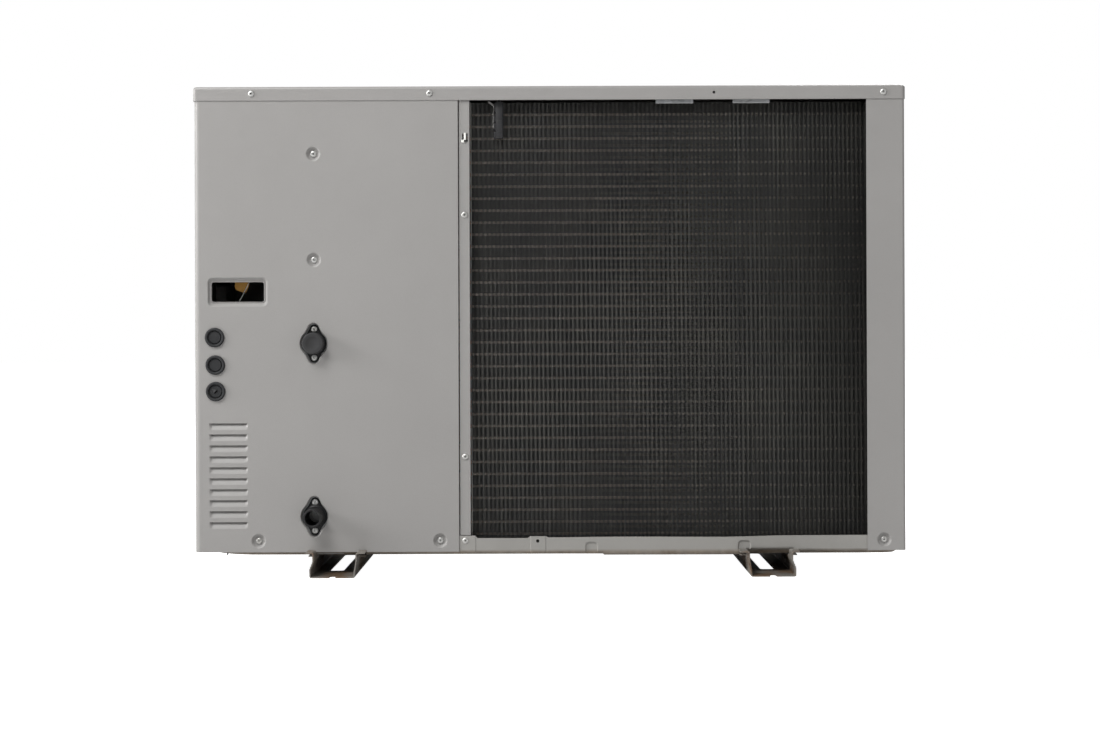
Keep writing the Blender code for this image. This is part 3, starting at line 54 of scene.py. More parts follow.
# Rear panel features, as (x, z) places
HAND_HOLE = (-0.5430, 0.4930)
GROMMETS = ((-0.5830, 0.4140), (-0.5820, 0.3660), (-0.5815, 0.3200))
LOUVRE_X = -0.5595
LOUVRE_WIDTH = 0.067
LOUVRE_TOP = 0.2645
LOUVRE_PITCH = 0.0191
LOUVRE_HEIGHT = 0.0118
LOUVRE_DEPTH = 0.0050
LOUVRE_COUNT = 10
DIMPLES = ((-0.4108, 0.7330), (-0.4103, 0.5486), (-0.5078, 0.0595), (-0.1916, 0.0595))
RETURN_DIMPLE = (0.5810, 0.0585)
FRONT_DIMPLES = ((-0.1300, 0.0620), (0.5880, 0.0620), (-0.1300, 0.8040), (0.5880, 0.8040))
SERVICE_DIMPLES = ((-0.5880, 0.0620), (-0.1880, 0.0620))
DIMPLE_RADIUS = 0.0120
DIMPLE_DEPTH = 0.0052
SEAT_RADIUS = 0.0082
SCREW_HOLE = 0.0024
SCREW_HEAD = 0.0055
COVER_SCREW_Z = 0.8377
COVER_SCREWS_X = (-0.518, -0.208, 0.5815)
COVER_EMPTY_X = 0.287
POST_LEFT = -0.1570
POST_RIGHT = -0.1385
POST_FACE = REAR_Y + 0.002
POST_SCREWS_Z = (0.626, 0.205)
CLIP_SLOT = (-0.1465, 0.7603)

# Water connections
UNIONS = ((-0.4108, 0.4030), (-0.4103, 0.1016))
UNION_MID = 0.0209
UNION_EAR = 0.0076
UNION_WAIST = 0.0011
EAR_OFFSET = 0.0251
UNION_FRONT = REAR_Y + 0.008
STUB_RADIUS = 0.0165
STUB_BORE = 0.0125
STUB_LENGTHS = (0.024, 0.041)
CAP_RADIUS = 0.0190
CAP_LENGTH = 0.0275

# Coil
COIL_FACE_Y = REAR_Y + 0.020
COIL_THICK = 0.040
COIL_LEFT = -0.1355
COIL_BOTTOM = 0.038
COIL_TOP = 0.823
COIL_SIDE_X = 0.608
COIL_END_Y = 0.150
COIL_BEND = 0.060
FIN_PITCH = 0.0015
FIN_HALF = 0.00011
FIN_LEVELS = 18
FIN_WAVE = 0.0076
FIN_SWAY = 0.00048
TUBE_PITCH = 0.021
TUBE_LOWEST = 0.068
TUBE_ROWS = 36
TUBE_RADIUS = 0.0024
TUBE_DEPTHS = (0.0108, 0.0300)
HOOKS = (("left", 0.186, 0.251), ("right", 0.320, 0.384))

# Fan
FAN_X = 0.235
FAN_Y = 0.142
FAN_Z = 0.445
SHROUD_RADIUS = 0.262
FAN_RADIUS = 0.252
HUB_RADIUS = 0.045
SHAFT_RADIUS = 0.005
MOTOR_RADIUS = 0.055

# Base pan and rails
PAN_BOTTOM = 0.0344
PAN_Y = DEPTH / 2 - 0.0035
PAN_X = WIDTH / 2 - 0.0035
RAILS = (("left", -0.3750, -0.3775, -1), ("right", 0.3826, 0.3826, 1))
RAIL_LENGTH = 0.460
RAIL_TOP = 0.0415
RAIL_SHEET = 0.002

# Camera
CAMERA_PLACE = (0.006, -3.6335, 0.412)
CAMERA_ROLL = math.radians(0.207)
LENS_MM = 64.9
LENS_SHIFT = (-0.00293, -0.02502)

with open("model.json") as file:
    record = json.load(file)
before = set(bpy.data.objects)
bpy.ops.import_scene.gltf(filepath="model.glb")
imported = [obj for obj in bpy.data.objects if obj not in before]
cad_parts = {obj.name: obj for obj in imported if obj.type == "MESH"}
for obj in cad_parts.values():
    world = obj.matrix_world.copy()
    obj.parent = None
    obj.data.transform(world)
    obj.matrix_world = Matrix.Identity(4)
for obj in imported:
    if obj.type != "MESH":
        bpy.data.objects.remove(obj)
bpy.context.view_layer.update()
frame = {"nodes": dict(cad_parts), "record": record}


# ---------------------------------------------------------------- drawing and mesh helpers

def arc(center, radius, start, end, count):
    """Points along an arc in a plane, angles in degrees, both ends included."""
    points = []
    for k in range(count + 1):
        angle = math.radians(start + (end - start) * k / count)
        points.append((center[0] + radius * math.cos(angle), center[1] + radius * math.sin(angle)))
    return points


def circle(center, radius, count=48):
    return arc(center, radius, 0, 360 * (count - 1) / count, count - 1)


def rounded_rectangle(center, size, radius, count=8):
    """Counter-clockwise outline of a rectangle with round corners; radius may be one number or four."""
    radii = radius if isinstance(radius, tuple) else (radius,) * 4
    outline = []
    for corner, (sign_x, sign_y) in enumerate(((1, 1), (-1, 1), (-1, -1), (1, -1))):
        r = radii[corner]
        middle = (center[0] + sign_x * (size[0] / 2 - r), center[1] + sign_y * (size[1] / 2 - r))
        outline += arc(middle, r, corner * 90, corner * 90 + 90, count)
    return outline


def rhombus(center, offset=0.0):
    """Outline of a flange with a round middle, two ears above and below it, and slightly hollow sides."""
    mid = UNION_MID + offset
    ear = UNION_EAR + offset
    lean = math.degrees(math.acos((mid - ear) / EAR_OFFSET))
    x, z = center
    arcs = [arc(center, mid, lean - 90, 90 - lean, 14),
            arc((x, z + EAR_OFFSET), ear, 90 - lean, 90 + lean, 14),
            arc(center, mid, 90 + lean, 270 - lean, 14),
            arc((x, z - EAR_OFFSET), ear, 270 - lean, 270 + lean, 14)]
    outline = []
    for part, after in zip(arcs, arcs[1:] + arcs[:1]):
        outline += part
        start = Vector(part[-1])
        end = Vector(after[0])
        for k in range(1, 6):
            place = start.lerp(end, k / 6)
            dip = UNION_WAIST * math.sin(math.pi * k / 6) ** 2
            outline.append(tuple(place + (Vector(center) - place).normalized() * dip))
    return outline


def wall_point(plane, u, v, depth):
    """Place a drawing point: depth runs into the unit from its rear, front, right or left face."""
    if plane == "rear":
        return (u, REAR_Y + depth, v)
    if plane == "front":
        return (u, PANEL_Y - depth, v)
    if plane == "right":
        return (PANEL_X - depth, u, v)
    return (-PANEL_X + depth, u, v)


def loft(bm, rows, around=True, ends=()):
    """Skin between rows of equal numbers of points, closed round or open, with faces on the rows named."""
    made = [[bm.verts.new(point) for point in row] for row in rows]
    for before, after in zip(made, made[1:]):
        for k in range(len(before) if around else len(before) - 1):
            n = (k + 1) % len(before)
            bm.faces.new((before[k], before[n], after[n], after[k]))
    for end in ends:
        bm.faces.new(made[end])


def finish_mesh(bm, name, angle=FOLD_ANGLE):
    """Turn a bmesh into a mesh with smooth faces and sharp folds."""
    bmesh.ops.remove_doubles(bm, verts=bm.verts, dist=MERGE)
    bmesh.ops.recalc_face_normals(bm, faces=bm.faces)
    mesh = bpy.data.meshes.new(name)
    bm.to_mesh(mesh)
    bm.free()
    mesh.shade_smooth()
    mesh.set_sharp_from_angle(angle=math.radians(angle))
    return mesh


def piece(name, mesh, finish, body="unit", nodes=()):
    """A visible piece that rides on a body and stands for the CAD nodes named."""
    made = bpy.data.objects.new(name, mesh)
    bpy.context.scene.collection.objects.link(made)
    mesh.materials.append(finish)
    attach(made, body)
    if nodes:
        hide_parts(*nodes)
    return made


def applied(mesh, kind, settings):
    """The mesh after one modifier with the settings given."""
    thing = bpy.data.objects.new("working", mesh)
    bpy.context.scene.collection.objects.link(thing)
    step = thing.modifiers.new(kind.lower(), kind)
    for key, value in settings.items():
        setattr(step, key, value)
    bpy.context.view_layer.update()
    graph = bpy.context.evaluated_depsgraph_get()
    made = bpy.data.meshes.new_from_object(thing.evaluated_get(graph))
    made.name = mesh.name + "_made"
    bpy.data.objects.remove(thing)
    made.shade_smooth()
    made.set_sharp_from_angle(angle=math.radians(FOLD_ANGLE))
    return made


def with_holes(mesh, cutter_mesh):
    """The mesh less the shapes of a second one."""
    cutter = bpy.data.objects.new("cutter", cutter_mesh)
    bpy.context.scene.collection.objects.link(cutter)
    made = applied(mesh, "BOOLEAN", {"operation": "DIFFERENCE", "object": cutter, "solver": "EXACT"})
    bpy.data.objects.remove(cutter)
    return made


# ---------------------------------------------------------------- materials

def srgb(red, green, blue):
    """A colour given in 0-255 display values, as the shader wants it."""
    channels = []
    for value in (red, green, blue):
        c = value / 255
        channels.append(c / 12.92 if c <= 0.04045 else ((c + 0.055) / 1.055) ** 2.4)
    return (*channels, 1.0)


WHITE = (1.0, 1.0, 1.0, 1.0)
BLACK = (0.0, 0.0, 0.0, 1.0)


def scaled(colour, factor):
    return (colour[0] * factor, colour[1] * factor, colour[2] * factor, 1.0)


def start_material(name, metallic=0.0, specular=0.5):
    made = bpy.data.materials.new(name)
    made.use_nodes = True
    shader = made.node_tree.nodes["Principled BSDF"]
    shader.inputs["Metallic"].default_value = metallic
    shader.inputs["Specular IOR Level"].default_value = specular
    return made, shader


def pattern(made, kind, scale, stretch=(1.0, 1.0, 1.0), detail=4.0):
    """A noise or cell pattern in metres on the piece itself; scale is the number of cells per metre."""
    nodes = made.node_tree.nodes
    links = made.node_tree.links
    place = nodes.new("ShaderNodeTexCoord")
    sizing = nodes.new("ShaderNodeMapping")
    sizing.inputs["Scale"].default_value = stretch
    links.new(place.outputs["Object"], sizing.inputs["Vector"])
    texture = nodes.new(kind)
    texture.inputs["Scale"].default_value = scale
    links.new(sizing.outputs["Vector"], texture.inputs["Vector"])
    if kind == "ShaderNodeTexNoise":
        texture.inputs["Detail"].default_value = detail
        return texture.outputs["Fac"]
    if kind == "ShaderNodeTexWave":
        return texture.outputs["Fac"]
    return texture.outputs["Color"]


def noise(made, scale, stretch=(1.0, 1.0, 1.0), detail=4.0):
    return pattern(made, "ShaderNodeTexNoise", scale, stretch, detail)


def ramp(made, source, *stops):
    """Colour from a pattern's value through (position, colour) stops."""
    step = made.node_tree.nodes.new("ShaderNodeValToRGB")
    band = step.color_ramp
    band.elements[0].position, band.elements[0].color = stops[0]
    band.elements[1].position, band.elements[1].color = stops[-1]
    for position, colour in stops[1:-1]:
        band.elements.new(position).color = colour
    made.node_tree.links.new(source, step.inputs["Fac"])
    return step.outputs["Color"]


def spread(made, source, low, high, start=0.3, end=0.7):
    """A number from a pattern's value, between low and high."""
    step = made.node_tree.nodes.new("ShaderNodeMapRange")
    for socket, value in (("From Min", start), ("From Max", end), ("To Min", low), ("To Max", high)):
        step.inputs[socket].default_value = value
    made.node_tree.links.new(source, step.inputs["Value"])
    return step.outputs["Result"]


def blended(made, share, first, second, mode="MIX"):
    """Two colours mixed by a share that is a number or a pattern."""
    step = made.node_tree.nodes.new("ShaderNodeMix")
    step.data_type = "RGBA"
    step.blend_type = mode
    links = made.node_tree.links
    for socket, value in ((step.inputs["Factor"], share), (step.inputs[6], first), (step.inputs[7], second)):
        if isinstance(value, bpy.types.NodeSocket):
            links.new(value, socket)
        else:
            socket.default_value = value
    return step.outputs[2]


def height_along(made, axis, low, high):
    """A number that runs from 0 to 1 between two places along an axis of the unit."""
    nodes = made.node_tree.nodes
    place = nodes.new("ShaderNodeTexCoord")
    parts = nodes.new("ShaderNodeSeparateXYZ")
    made.node_tree.links.new(place.outputs["Object"], parts.inputs["Vector"])
    return spread(made, parts.outputs[axis], 0.0, 1.0, low, high)


def add_bump(made, shader, *layers):
    """Fine relief: each layer is (pattern, height in metres)."""
    before = None
    for source, height in layers:
        step = made.node_tree.nodes.new("ShaderNodeBump")
        step.inputs["Strength"].default_value = 1.0
        step.inputs["Distance"].default_value = height
        made.node_tree.links.new(source, step.inputs["Height"])
        if before:
            made.node_tree.links.new(before, step.inputs["Normal"])
        before = step.outputs["Normal"]
    made.node_tree.links.new(before, shader.inputs["Normal"])


def wire(made, source, shader, socket):
    made.node_tree.links.new(source, shader.inputs[socket])


def powder_coat(name, colour, gloss=0.42):
    """Baked coating on sheet: faint mottle, fine speckle and orange peel."""
    made, shader = start_material(name, specular=0.42)
    cloud = ramp(made, noise(made, 5.0), (0.3, scaled(colour, 0.975)), (0.7, scaled(colour, 1.02)))
    speckle = ramp(made, noise(made, 1500.0, detail=2.0), (0.35, (0.94, 0.94, 0.94, 1)), (0.62, WHITE))
    wire(made, blended(made, 1.0, cloud, speckle, "MULTIPLY"), shader, "Base Color")
    wire(made, spread(made, noise(made, 40.0), gloss - 0.05, gloss + 0.07), shader, "Roughness")
    peel = noise(made, 420.0, detail=2.0)
    add_bump(made, shader, (peel, 0.00004), (noise(made, 1600.0, detail=2.0), 0.00002))
    return made


def patchy_rail_coat(name, colour, brown):
    """Thin paint on rail steel, with brown patches and small chips."""
    made, shader = start_material(name, metallic=0.15, specular=0.4)
    clean = ramp(made, noise(made, 60.0), (0.3, scaled(colour, 0.85)), (0.7, scaled(colour, 1.12)))
    brown_patch_mask = spread(made, noise(made, 26.0, (1.0, 0.5, 1.0), detail=7.0), 0.0, 1.0, 0.42, 0.62)
    coat = blended(made, brown_patch_mask, clean, brown)
    chips = ramp(made, noise(made, 420.0, detail=3.0), (0.66, BLACK), (0.72, WHITE))
    wire(made, blended(made, chips, coat, scaled(colour, 1.7)), shader, "Base Color")
    wire(made, spread(made, noise(made, 90.0), 0.36, 0.60), shader, "Roughness")
    add_bump(made, shader, (noise(made, 500.0, detail=3.0), 0.00005), (noise(made, 60.0), 0.0001))
    return made


def zinc_sheet(name, colour, roughness=0.40, spangle=85.0, metallic=0.85):
    """Galvanised sheet: crystal spangles that differ in tone and gloss, with a few dull patches."""
    made, shader = start_material(name, metallic=metallic)
    crystals = pattern(made, "ShaderNodeTexVoronoi", spangle)
    tone = ramp(made, crystals, (0.1, scaled(colour, 0.82)), (0.9, scaled(colour, 1.12)))
    dull = ramp(made, noise(made, 9.0), (0.42, WHITE), (0.75, (0.80, 0.78, 0.75, 1)))
    wire(made, blended(made, 1.0, tone, dull, "MULTIPLY"), shader, "Base Color")
    wire(made, spread(made, crystals, roughness - 0.09, roughness + 0.12, 0.1, 0.9), shader, "Roughness")
    add_bump(made, shader, (noise(made, 500.0), 0.00003))
    return made


def bare_metal(name, colour, roughness, stretch=(1.0, 1.0, 1.0), tarnish=(0.72, 0.68, 0.66)):
    """Drawn, turned or brushed metal with tarnish clouds and fine marks along one direction."""
    made, shader = start_material(name, metallic=1.0)
    cloud = noise(made, 24.0, detail=6.0)
    stained = scaled(tuple(c * t for c, t in zip(colour, tarnish)), 1.0)
    wire(made, ramp(made, cloud, (0.35, colour), (0.72, stained)), shader, "Base Color")
    marks = noise(made, 160.0, stretch)
    wire(made, spread(made, marks, roughness - 0.08, roughness + 0.12), shader, "Roughness")
    add_bump(made, shader, (noise(made, 900.0, stretch), 0.00002))
    return made


def moulded(name, colour, roughness=0.46, grain=900.0, relief=0.00004, dust=0.0):
    """Moulded plastic or rubber: fine grain, small gloss changes and a trace of dust."""
    made, shader = start_material(name, specular=0.45)
    base = ramp(made, noise(made, 30.0), (0.3, scaled(colour, 0.88)), (0.7, scaled(colour, 1.10)))
    if dust:
        dusty = blended(made, 1.0, base, scaled(srgb(150, 144, 134), dust), "ADD")
        base = blended(made, spread(made, noise(made, 70.0), 0.0, 1.0, 0.45, 0.75), base, dusty)
    wire(made, base, shader, "Base Color")
    wire(made, spread(made, noise(made, 120.0), roughness - 0.07, roughness + 0.10), shader, "Roughness")
    add_bump(made, shader, (noise(made, grain, detail=2.0), relief), (noise(made, 90.0), relief * 1.5))
    return made


def pan_coating():
    """Painted pan sheet, darker and browner along its lower bend: painted shade there, mixed with streaks of
    dust and water.
    """
    colour = srgb(149, 147, 143)
    made, shader = start_material("pan_coating", specular=0.40)
    clean = ramp(made, noise(made, 9.0), (0.3, scaled(colour, 0.95)), (0.7, scaled(colour, 1.03)))
    # Painted shade mixed with dirt: streaky brown blended in towards the bottom of the lower bend.
    streaks = noise(made, 130.0, (1.0, 1.0, 0.4))
    shade_and_dirt = ramp(made, streaks, (0.3, srgb(104, 92, 78)), (0.7, srgb(128, 116, 101)))
    low = height_along(made, "Z", 0.0440, 0.0385)
    patches = ramp(made, noise(made, 22.0), (0.2, (0.5, 0.5, 0.5, 1)), (0.7, WHITE))
    shade_and_dirt_mask = blended(made, low, BLACK, patches)
    wire(made, blended(made, shade_and_dirt_mask, clean, shade_and_dirt), shader, "Base Color")
    wire(made, spread(made, noise(made, 60.0), 0.40, 0.55), shader, "Roughness")
    add_bump(made, shader, (noise(made, 420.0, detail=2.0), 0.00004), (noise(made, 1500.0), 0.00002))
    return made


def fin_metal():
    """Coated aluminium fins: grey, painted shade towards the right, upright bands of painted light and shade.
    """
    made, shader = start_material("fin_metal", metallic=0.25, specular=0.35)
    # Painted light and shade: wavy upright bands, lighter and darker, stand for groups of bent fins catching
    # the light unevenly.
    bands = pattern(made, "ShaderNodeTexWave", 82.7, (1.0, 1.0, 0.012))
    bands.node.bands_direction = "DIAGONAL"
    bands.node.inputs["Distortion"].default_value = 2.5
    bands.node.inputs["Detail Scale"].default_value = 0.35
    tone = ramp(made, bands, (0.15, srgb(92, 92, 93)), (0.50, srgb(119, 119, 119)),
                (0.85, srgb(148, 147, 144)))
    dust = ramp(made, noise(made, 14.0, detail=6.0), (0.35, (0.88, 0.88, 0.88, 1)),
                (0.75, (1.08, 1.06, 1.02, 1)))
    painted_bands_and_dust = blended(made, 1.0, tone, dust, "MULTIPLY")
    # Painted shade: the fins darken along X, to about a third of their tone at the right end.
    far = ramp(made, height_along(made, "X", -0.10, 0.56), (0.0, WHITE), (0.75, (0.74, 0.74, 0.73, 1)),
               (1.0, (0.34, 0.34, 0.33, 1)))
    wire(made, blended(made, 1.0, painted_bands_and_dust, far, "MULTIPLY"), shader, "Base Color")
    wire(made, spread(made, noise(made, 200.0), 0.42, 0.60), shader, "Roughness")
    add_bump(made, shader, (noise(made, 700.0), 0.00003))
    return made


def circuit_board():
    """Green solder mask over faint copper runs."""
    made, shader = start_material("circuit_board", specular=0.5)
    runs = pattern(made, "ShaderNodeTexWave", 45.0, (1.0, 0.25, 1.0))
    green = ramp(made, runs, (0.35, srgb(20, 78, 42)), (0.6, srgb(38, 104, 58)))
    pads = ramp(made, pattern(made, "ShaderNodeTexVoronoi", 160.0), (0.80, BLACK), (0.92, WHITE))
    wire(made, blended(made, pads, green, srgb(176, 170, 150)), shader, "Base Color")
    wire(made, spread(made, noise(made, 80.0), 0.25, 0.45), shader, "Roughness")
    add_bump(made, shader, (runs, 0.00003))
    return made


CASING = srgb(150, 148, 146)
casing_paint = powder_coat("casing_paint", CASING)
pan_paint = pan_coating()
rail_paint = patchy_rail_coat("rail_paint", srgb(124, 120, 114), srgb(108, 88, 70))
galvanised = zinc_sheet("galvanised_sheet", srgb(172, 174, 176), metallic=0.7)
screw_zinc = zinc_sheet("screw_zinc", srgb(206, 206, 204), 0.32, 1400.0, 0.6)
fins_dark = fin_metal()
collar_metal = zinc_sheet("fin_collar_metal", srgb(238, 222, 210), 0.40, 300.0, 0.2)
copper = bare_metal("copper_tube", srgb(206, 140, 104), 0.30, tarnish=(0.66, 0.55, 0.50))
brass = bare_metal("brass_fitting", srgb(198, 166, 96), 0.32)
stainless = bare_metal("stainless_plate", srgb(176, 176, 174), 0.34, (1.0, 1.0, 12.0), (0.84, 0.84, 0.86))
black_plastic = moulded("black_plastic", srgb(13, 13, 14), 0.50)
grille_plastic = moulded("grille_plastic", srgb(40, 40, 41), 0.50, 1200.0, dust=0.03)
black_rubber = moulded("black_rubber", srgb(43, 43, 44), 0.76, 700.0, 0.00005, dust=0.03)
grommet_rubber = moulded("grommet_rubber", srgb(32, 33, 35), 0.68, 800.0, 0.00005, dust=0.02)
white_plastic = moulded("white_plastic", srgb(226, 225, 220), 0.38, 1100.0, 0.00002)
black_enamel = moulded("black_enamel", srgb(30, 30, 31), 0.26, 260.0, 0.00004, dust=0.02)
clip_plastic = moulded("clip_plastic", srgb(36, 36, 38), 0.50, 900.0, dust=0.02)
blade_plastic = moulded("blade_plastic", srgb(38, 39, 41), 0.42, 500.0, 0.00003, dust=0.04)
brown_film = moulded("brown_film", srgb(176, 128, 46), 0.40, 1100.0, 0.00002)
board_green = circuit_board()


# ---------------------------------------------------------------- sheet metal

def inside(point, loop):
    """Whether a point lies within a closed loop."""
    hit = False
    for (u0, v0), (u1, v1) in zip(loop, loop[1:] + loop[:1]):
        if (v0 > point[1]) != (v1 > point[1]) and point[0] < u0 + (u1 - u0) * (point[1] - v0) / (v1 - v0):
            hit = not hit
    return hit


def flat_sheet(bm, plane, outline, holes=(), depth=0.0):
    """A flat area with holes; every loop is a list of (u, v) points."""
    points = []
    edges = []
    for loop in (outline, *holes):
        first = len(points)
        points += [Vector(point) for point in loop]
        count = len(loop)
        edges += [(first + k, first + (k + 1) % count) for k in range(count)]
    placed, _, faces, _, _, _ = delaunay_2d_cdt(points, edges, [], 1, 0.0000001)
    verts = [bm.verts.new(wall_point(plane, u, v, depth)) for u, v in placed]
    for face in faces:
        middle = (sum(placed[k][0] for k in face) / 3, sum(placed[k][1] for k in face) / 3)
        if not any(inside(middle, hole) for hole in holes):
            bm.faces.new([verts[k] for k in face])


def rings(bm, plane, *loops):
    """Skin between loops with equal numbers of points, each given as (outline, depth)."""
    loft(bm, [[wall_point(plane, u, v, depth) for u, v in outline] for outline, depth in loops])


def swept(bm, path, low, high):
    """Upright skin along a path of (x, y) points."""
    loft(bm, [[(x, y, z) for x, y in path] for z in (low, high)], around=False)


def upright(left, right, bottom=PANEL_BOTTOM):
    """Outline of a panel's flat area between its two upright edges."""
    return [(left, bottom), (right, bottom), (right, PANEL_TOP), (left, PANEL_TOP)]


def sheet_piece(bm, name, outward, thickness=SHEET, cutter=None):
    """Close a drawn skin into sheet that lies behind it, seen from outside."""
    bmesh.ops.remove_doubles(bm, verts=bm.verts, dist=MERGE)
    bmesh.ops.recalc_face_normals(bm, faces=bm.faces)
    facing = sum((f.normal * f.calc_area() for f in bm.faces), Vector())
    if facing.dot(Vector(outward)) < 0:
        bmesh.ops.reverse_faces(bm, faces=bm.faces)
    mesh = bpy.data.meshes.new(name)
    bm.to_mesh(mesh)
    bm.free()
    mesh = applied(mesh, "SOLIDIFY", {"thickness": thickness, "offset": -1, "use_even_offset": True})
    if cutter:
        mesh = with_holes(mesh, cutter)
    for face in mesh.polygons:
        if max(abs(part) for part in face.normal) > 0.99999:
            face.use_smooth = False
    return mesh


def rod_shapes(name, *ends):
    """Round bars from point to point with a radius, used on their own or as cutters."""
    bm = bmesh.new()
    for start, end, radius in ends:
        along = Vector(end) - Vector(start)
        turn = along.to_track_quat("Z", "Y").to_matrix().to_4x4()
        place = Matrix.Translation((Vector(start) + Vector(end)) / 2) @ turn
        bmesh.ops.create_cone(bm, cap_ends=True, segments=24, radius1=radius, radius2=radius,
                              depth=along.length, matrix=place)
    return finish_mesh(bm, name)


def press_dimple(bm, plane, spot):
    """Round dished seat for a screw; returns the loop to leave open in the flat sheet."""
    steps = (
        (DIMPLE_RADIUS + 0.0016, 0.0), (DIMPLE_RADIUS + 0.0010, 0.0), (DIMPLE_RADIUS + 0.0002, 0.0002),
        (DIMPLE_RADIUS - 0.0006, 0.0008), (SEAT_RADIUS + 0.0012, DIMPLE_DEPTH - 0.0007),
        (SEAT_RADIUS + 0.0002, DIMPLE_DEPTH - 0.0001), (SEAT_RADIUS - 0.0008, DIMPLE_DEPTH),
        (SCREW_HOLE, DIMPLE_DEPTH))
    rings(bm, plane, *((circle(spot, radius), depth) for radius, depth in steps))
    return circle(spot, steps[0][0])


def press_recess(bm, plane, center, outer, opening, depth):
    """Stamped recess round a hand hole with a rolled edge."""
    floor = (opening[0] + 0.006, opening[1] + 0.005)
    steps = (
        (outer, 0.0024, 0.0092, 0.0), (outer, 0.0008, 0.0084, 0.0), (outer, -0.0004, 0.0078, 0.00018),
        (outer, -0.0016, 0.0072, 0.0009), (floor, 0.0016, 0.0062, depth - 0.0008),
        (floor, 0.0004, 0.0056, depth - 0.0001), (floor, -0.0010, 0.0052, depth),
        (opening, 0.0036, 0.0050, depth), (opening, 0.0028, 0.0048, depth - 0.0007),
        (opening, 0.0018, 0.0046, depth - 0.0011), (opening, 0.0008, 0.0044, depth - 0.0007),
        (opening, 0.0, 0.0042, depth + 0.0004), (opening, 0.0, 0.0040, depth + 0.0026))
    loops = [(rounded_rectangle(center, (size[0] + grow, size[1] + grow), radius), d)
             for size, grow, radius, d in steps]
    rings(bm, plane, *loops)
    return loops[0][0]


def press_union_hole(bm, center):
    """Rhombus opening with a softly rolled edge."""
    steps = ((0.0044, 0.0), (0.0038, 0.0), (0.0032, 0.0005), (0.0023, 0.0020), (0.0015, 0.0042))
    rings(bm, "rear", *((rhombus(center, offset), depth) for offset, depth in steps))
    return rhombus(center, steps[0][0])


def press_louvre(bm, top):
    """One louvre: the sheet slopes in from below to an open slit at its top."""
    across = 34
    up = 12
    left = LOUVRE_X - LOUVRE_WIDTH / 2
    bottom = top - LOUVRE_HEIGHT
    side = 0.0040
    grid = []
    for row in range(up + 1):
        t = row / up
        line = []
        for column in range(across + 1):
            u = LOUVRE_WIDTH * column / across
            near = min(u, LOUVRE_WIDTH - u) / side
            edge = 1.0 if near > 1 else near * near * (3 - 2 * near)
            depth = LOUVRE_DEPTH * edge * t ** 1.1
            line.append(wall_point("rear", left + u, bottom + LOUVRE_HEIGHT * t, depth))
        grid.append(line)
    loft(bm, grid, around=False)
    us = [left + LOUVRE_WIDTH * k / across for k in range(across + 1)]
    vs = [bottom + LOUVRE_HEIGHT * k / up for k in range(1, up)]
    loop = [(u, bottom) for u in us] + [(us[-1], v) for v in vs]
    loop += [(u, top) for u in reversed(us)] + [(us[0], v) for v in reversed(vs)]
    return loop


def skirt_holes():
    ends = [((x, -DEPTH / 2 - 0.01, COVER_SCREW_Z), (x, REAR_Y + 0.01, COVER_SCREW_Z), SCREW_HOLE)
            for x in COVER_SCREWS_X + (COVER_EMPTY_X,)]
    return rod_shapes("skirt_holes", *ends)


def rear_panel():
    """Panel behind the machine compartment, wrapped round the left corner to half of the left side."""
    bm = bmesh.new()
    radius = 0.0095
    turn_x = -PANEL_X + radius
    flat_left = turn_x + HOLD
    flat_right = REAR_PANEL_EDGE - 0.0016
    holes = [press_dimple(bm, "rear", spot) for spot in DIMPLES]
    holes.append(press_recess(bm, "rear", HAND_HOLE, (0.104, 0.050), (0.091, 0.034), 0.005))
    holes += [press_union_hole(bm, spot) for spot in UNIONS]
    holes += [circle(spot, 0.0142) for spot in GROMMETS]
    holes += [press_louvre(bm, LOUVRE_TOP - k * LOUVRE_PITCH) for k in range(LOUVRE_COUNT)]
    flat_sheet(bm, "rear", upright(flat_left, flat_right), holes)
    path = [(flat_left, REAR_Y)] + arc((turn_x, REAR_Y + radius), radius, 270, 180, BEND_STEPS)
    path += [(-PANEL_X, REAR_Y + radius + HOLD), (-PANEL_X, SIDE_SPLIT_Y)]
    swept(bm, path, PANEL_BOTTOM, PANEL_TOP)
    fold = 0.0012
    swept(bm, [(flat_right, REAR_Y)] + arc((REAR_PANEL_EDGE - fold, REAR_Y + fold), fold, 270, 360, 6)
          + [(REAR_PANEL_EDGE, REAR_Y + 0.009)], PANEL_BOTTOM, PANEL_TOP)
    mesh = sheet_piece(bm, "rear_panel_sheet", (-1, -1, 0), cutter=skirt_holes())
    return piece("rear_panel_sheet", mesh, casing_paint, nodes=("rear_panel",))


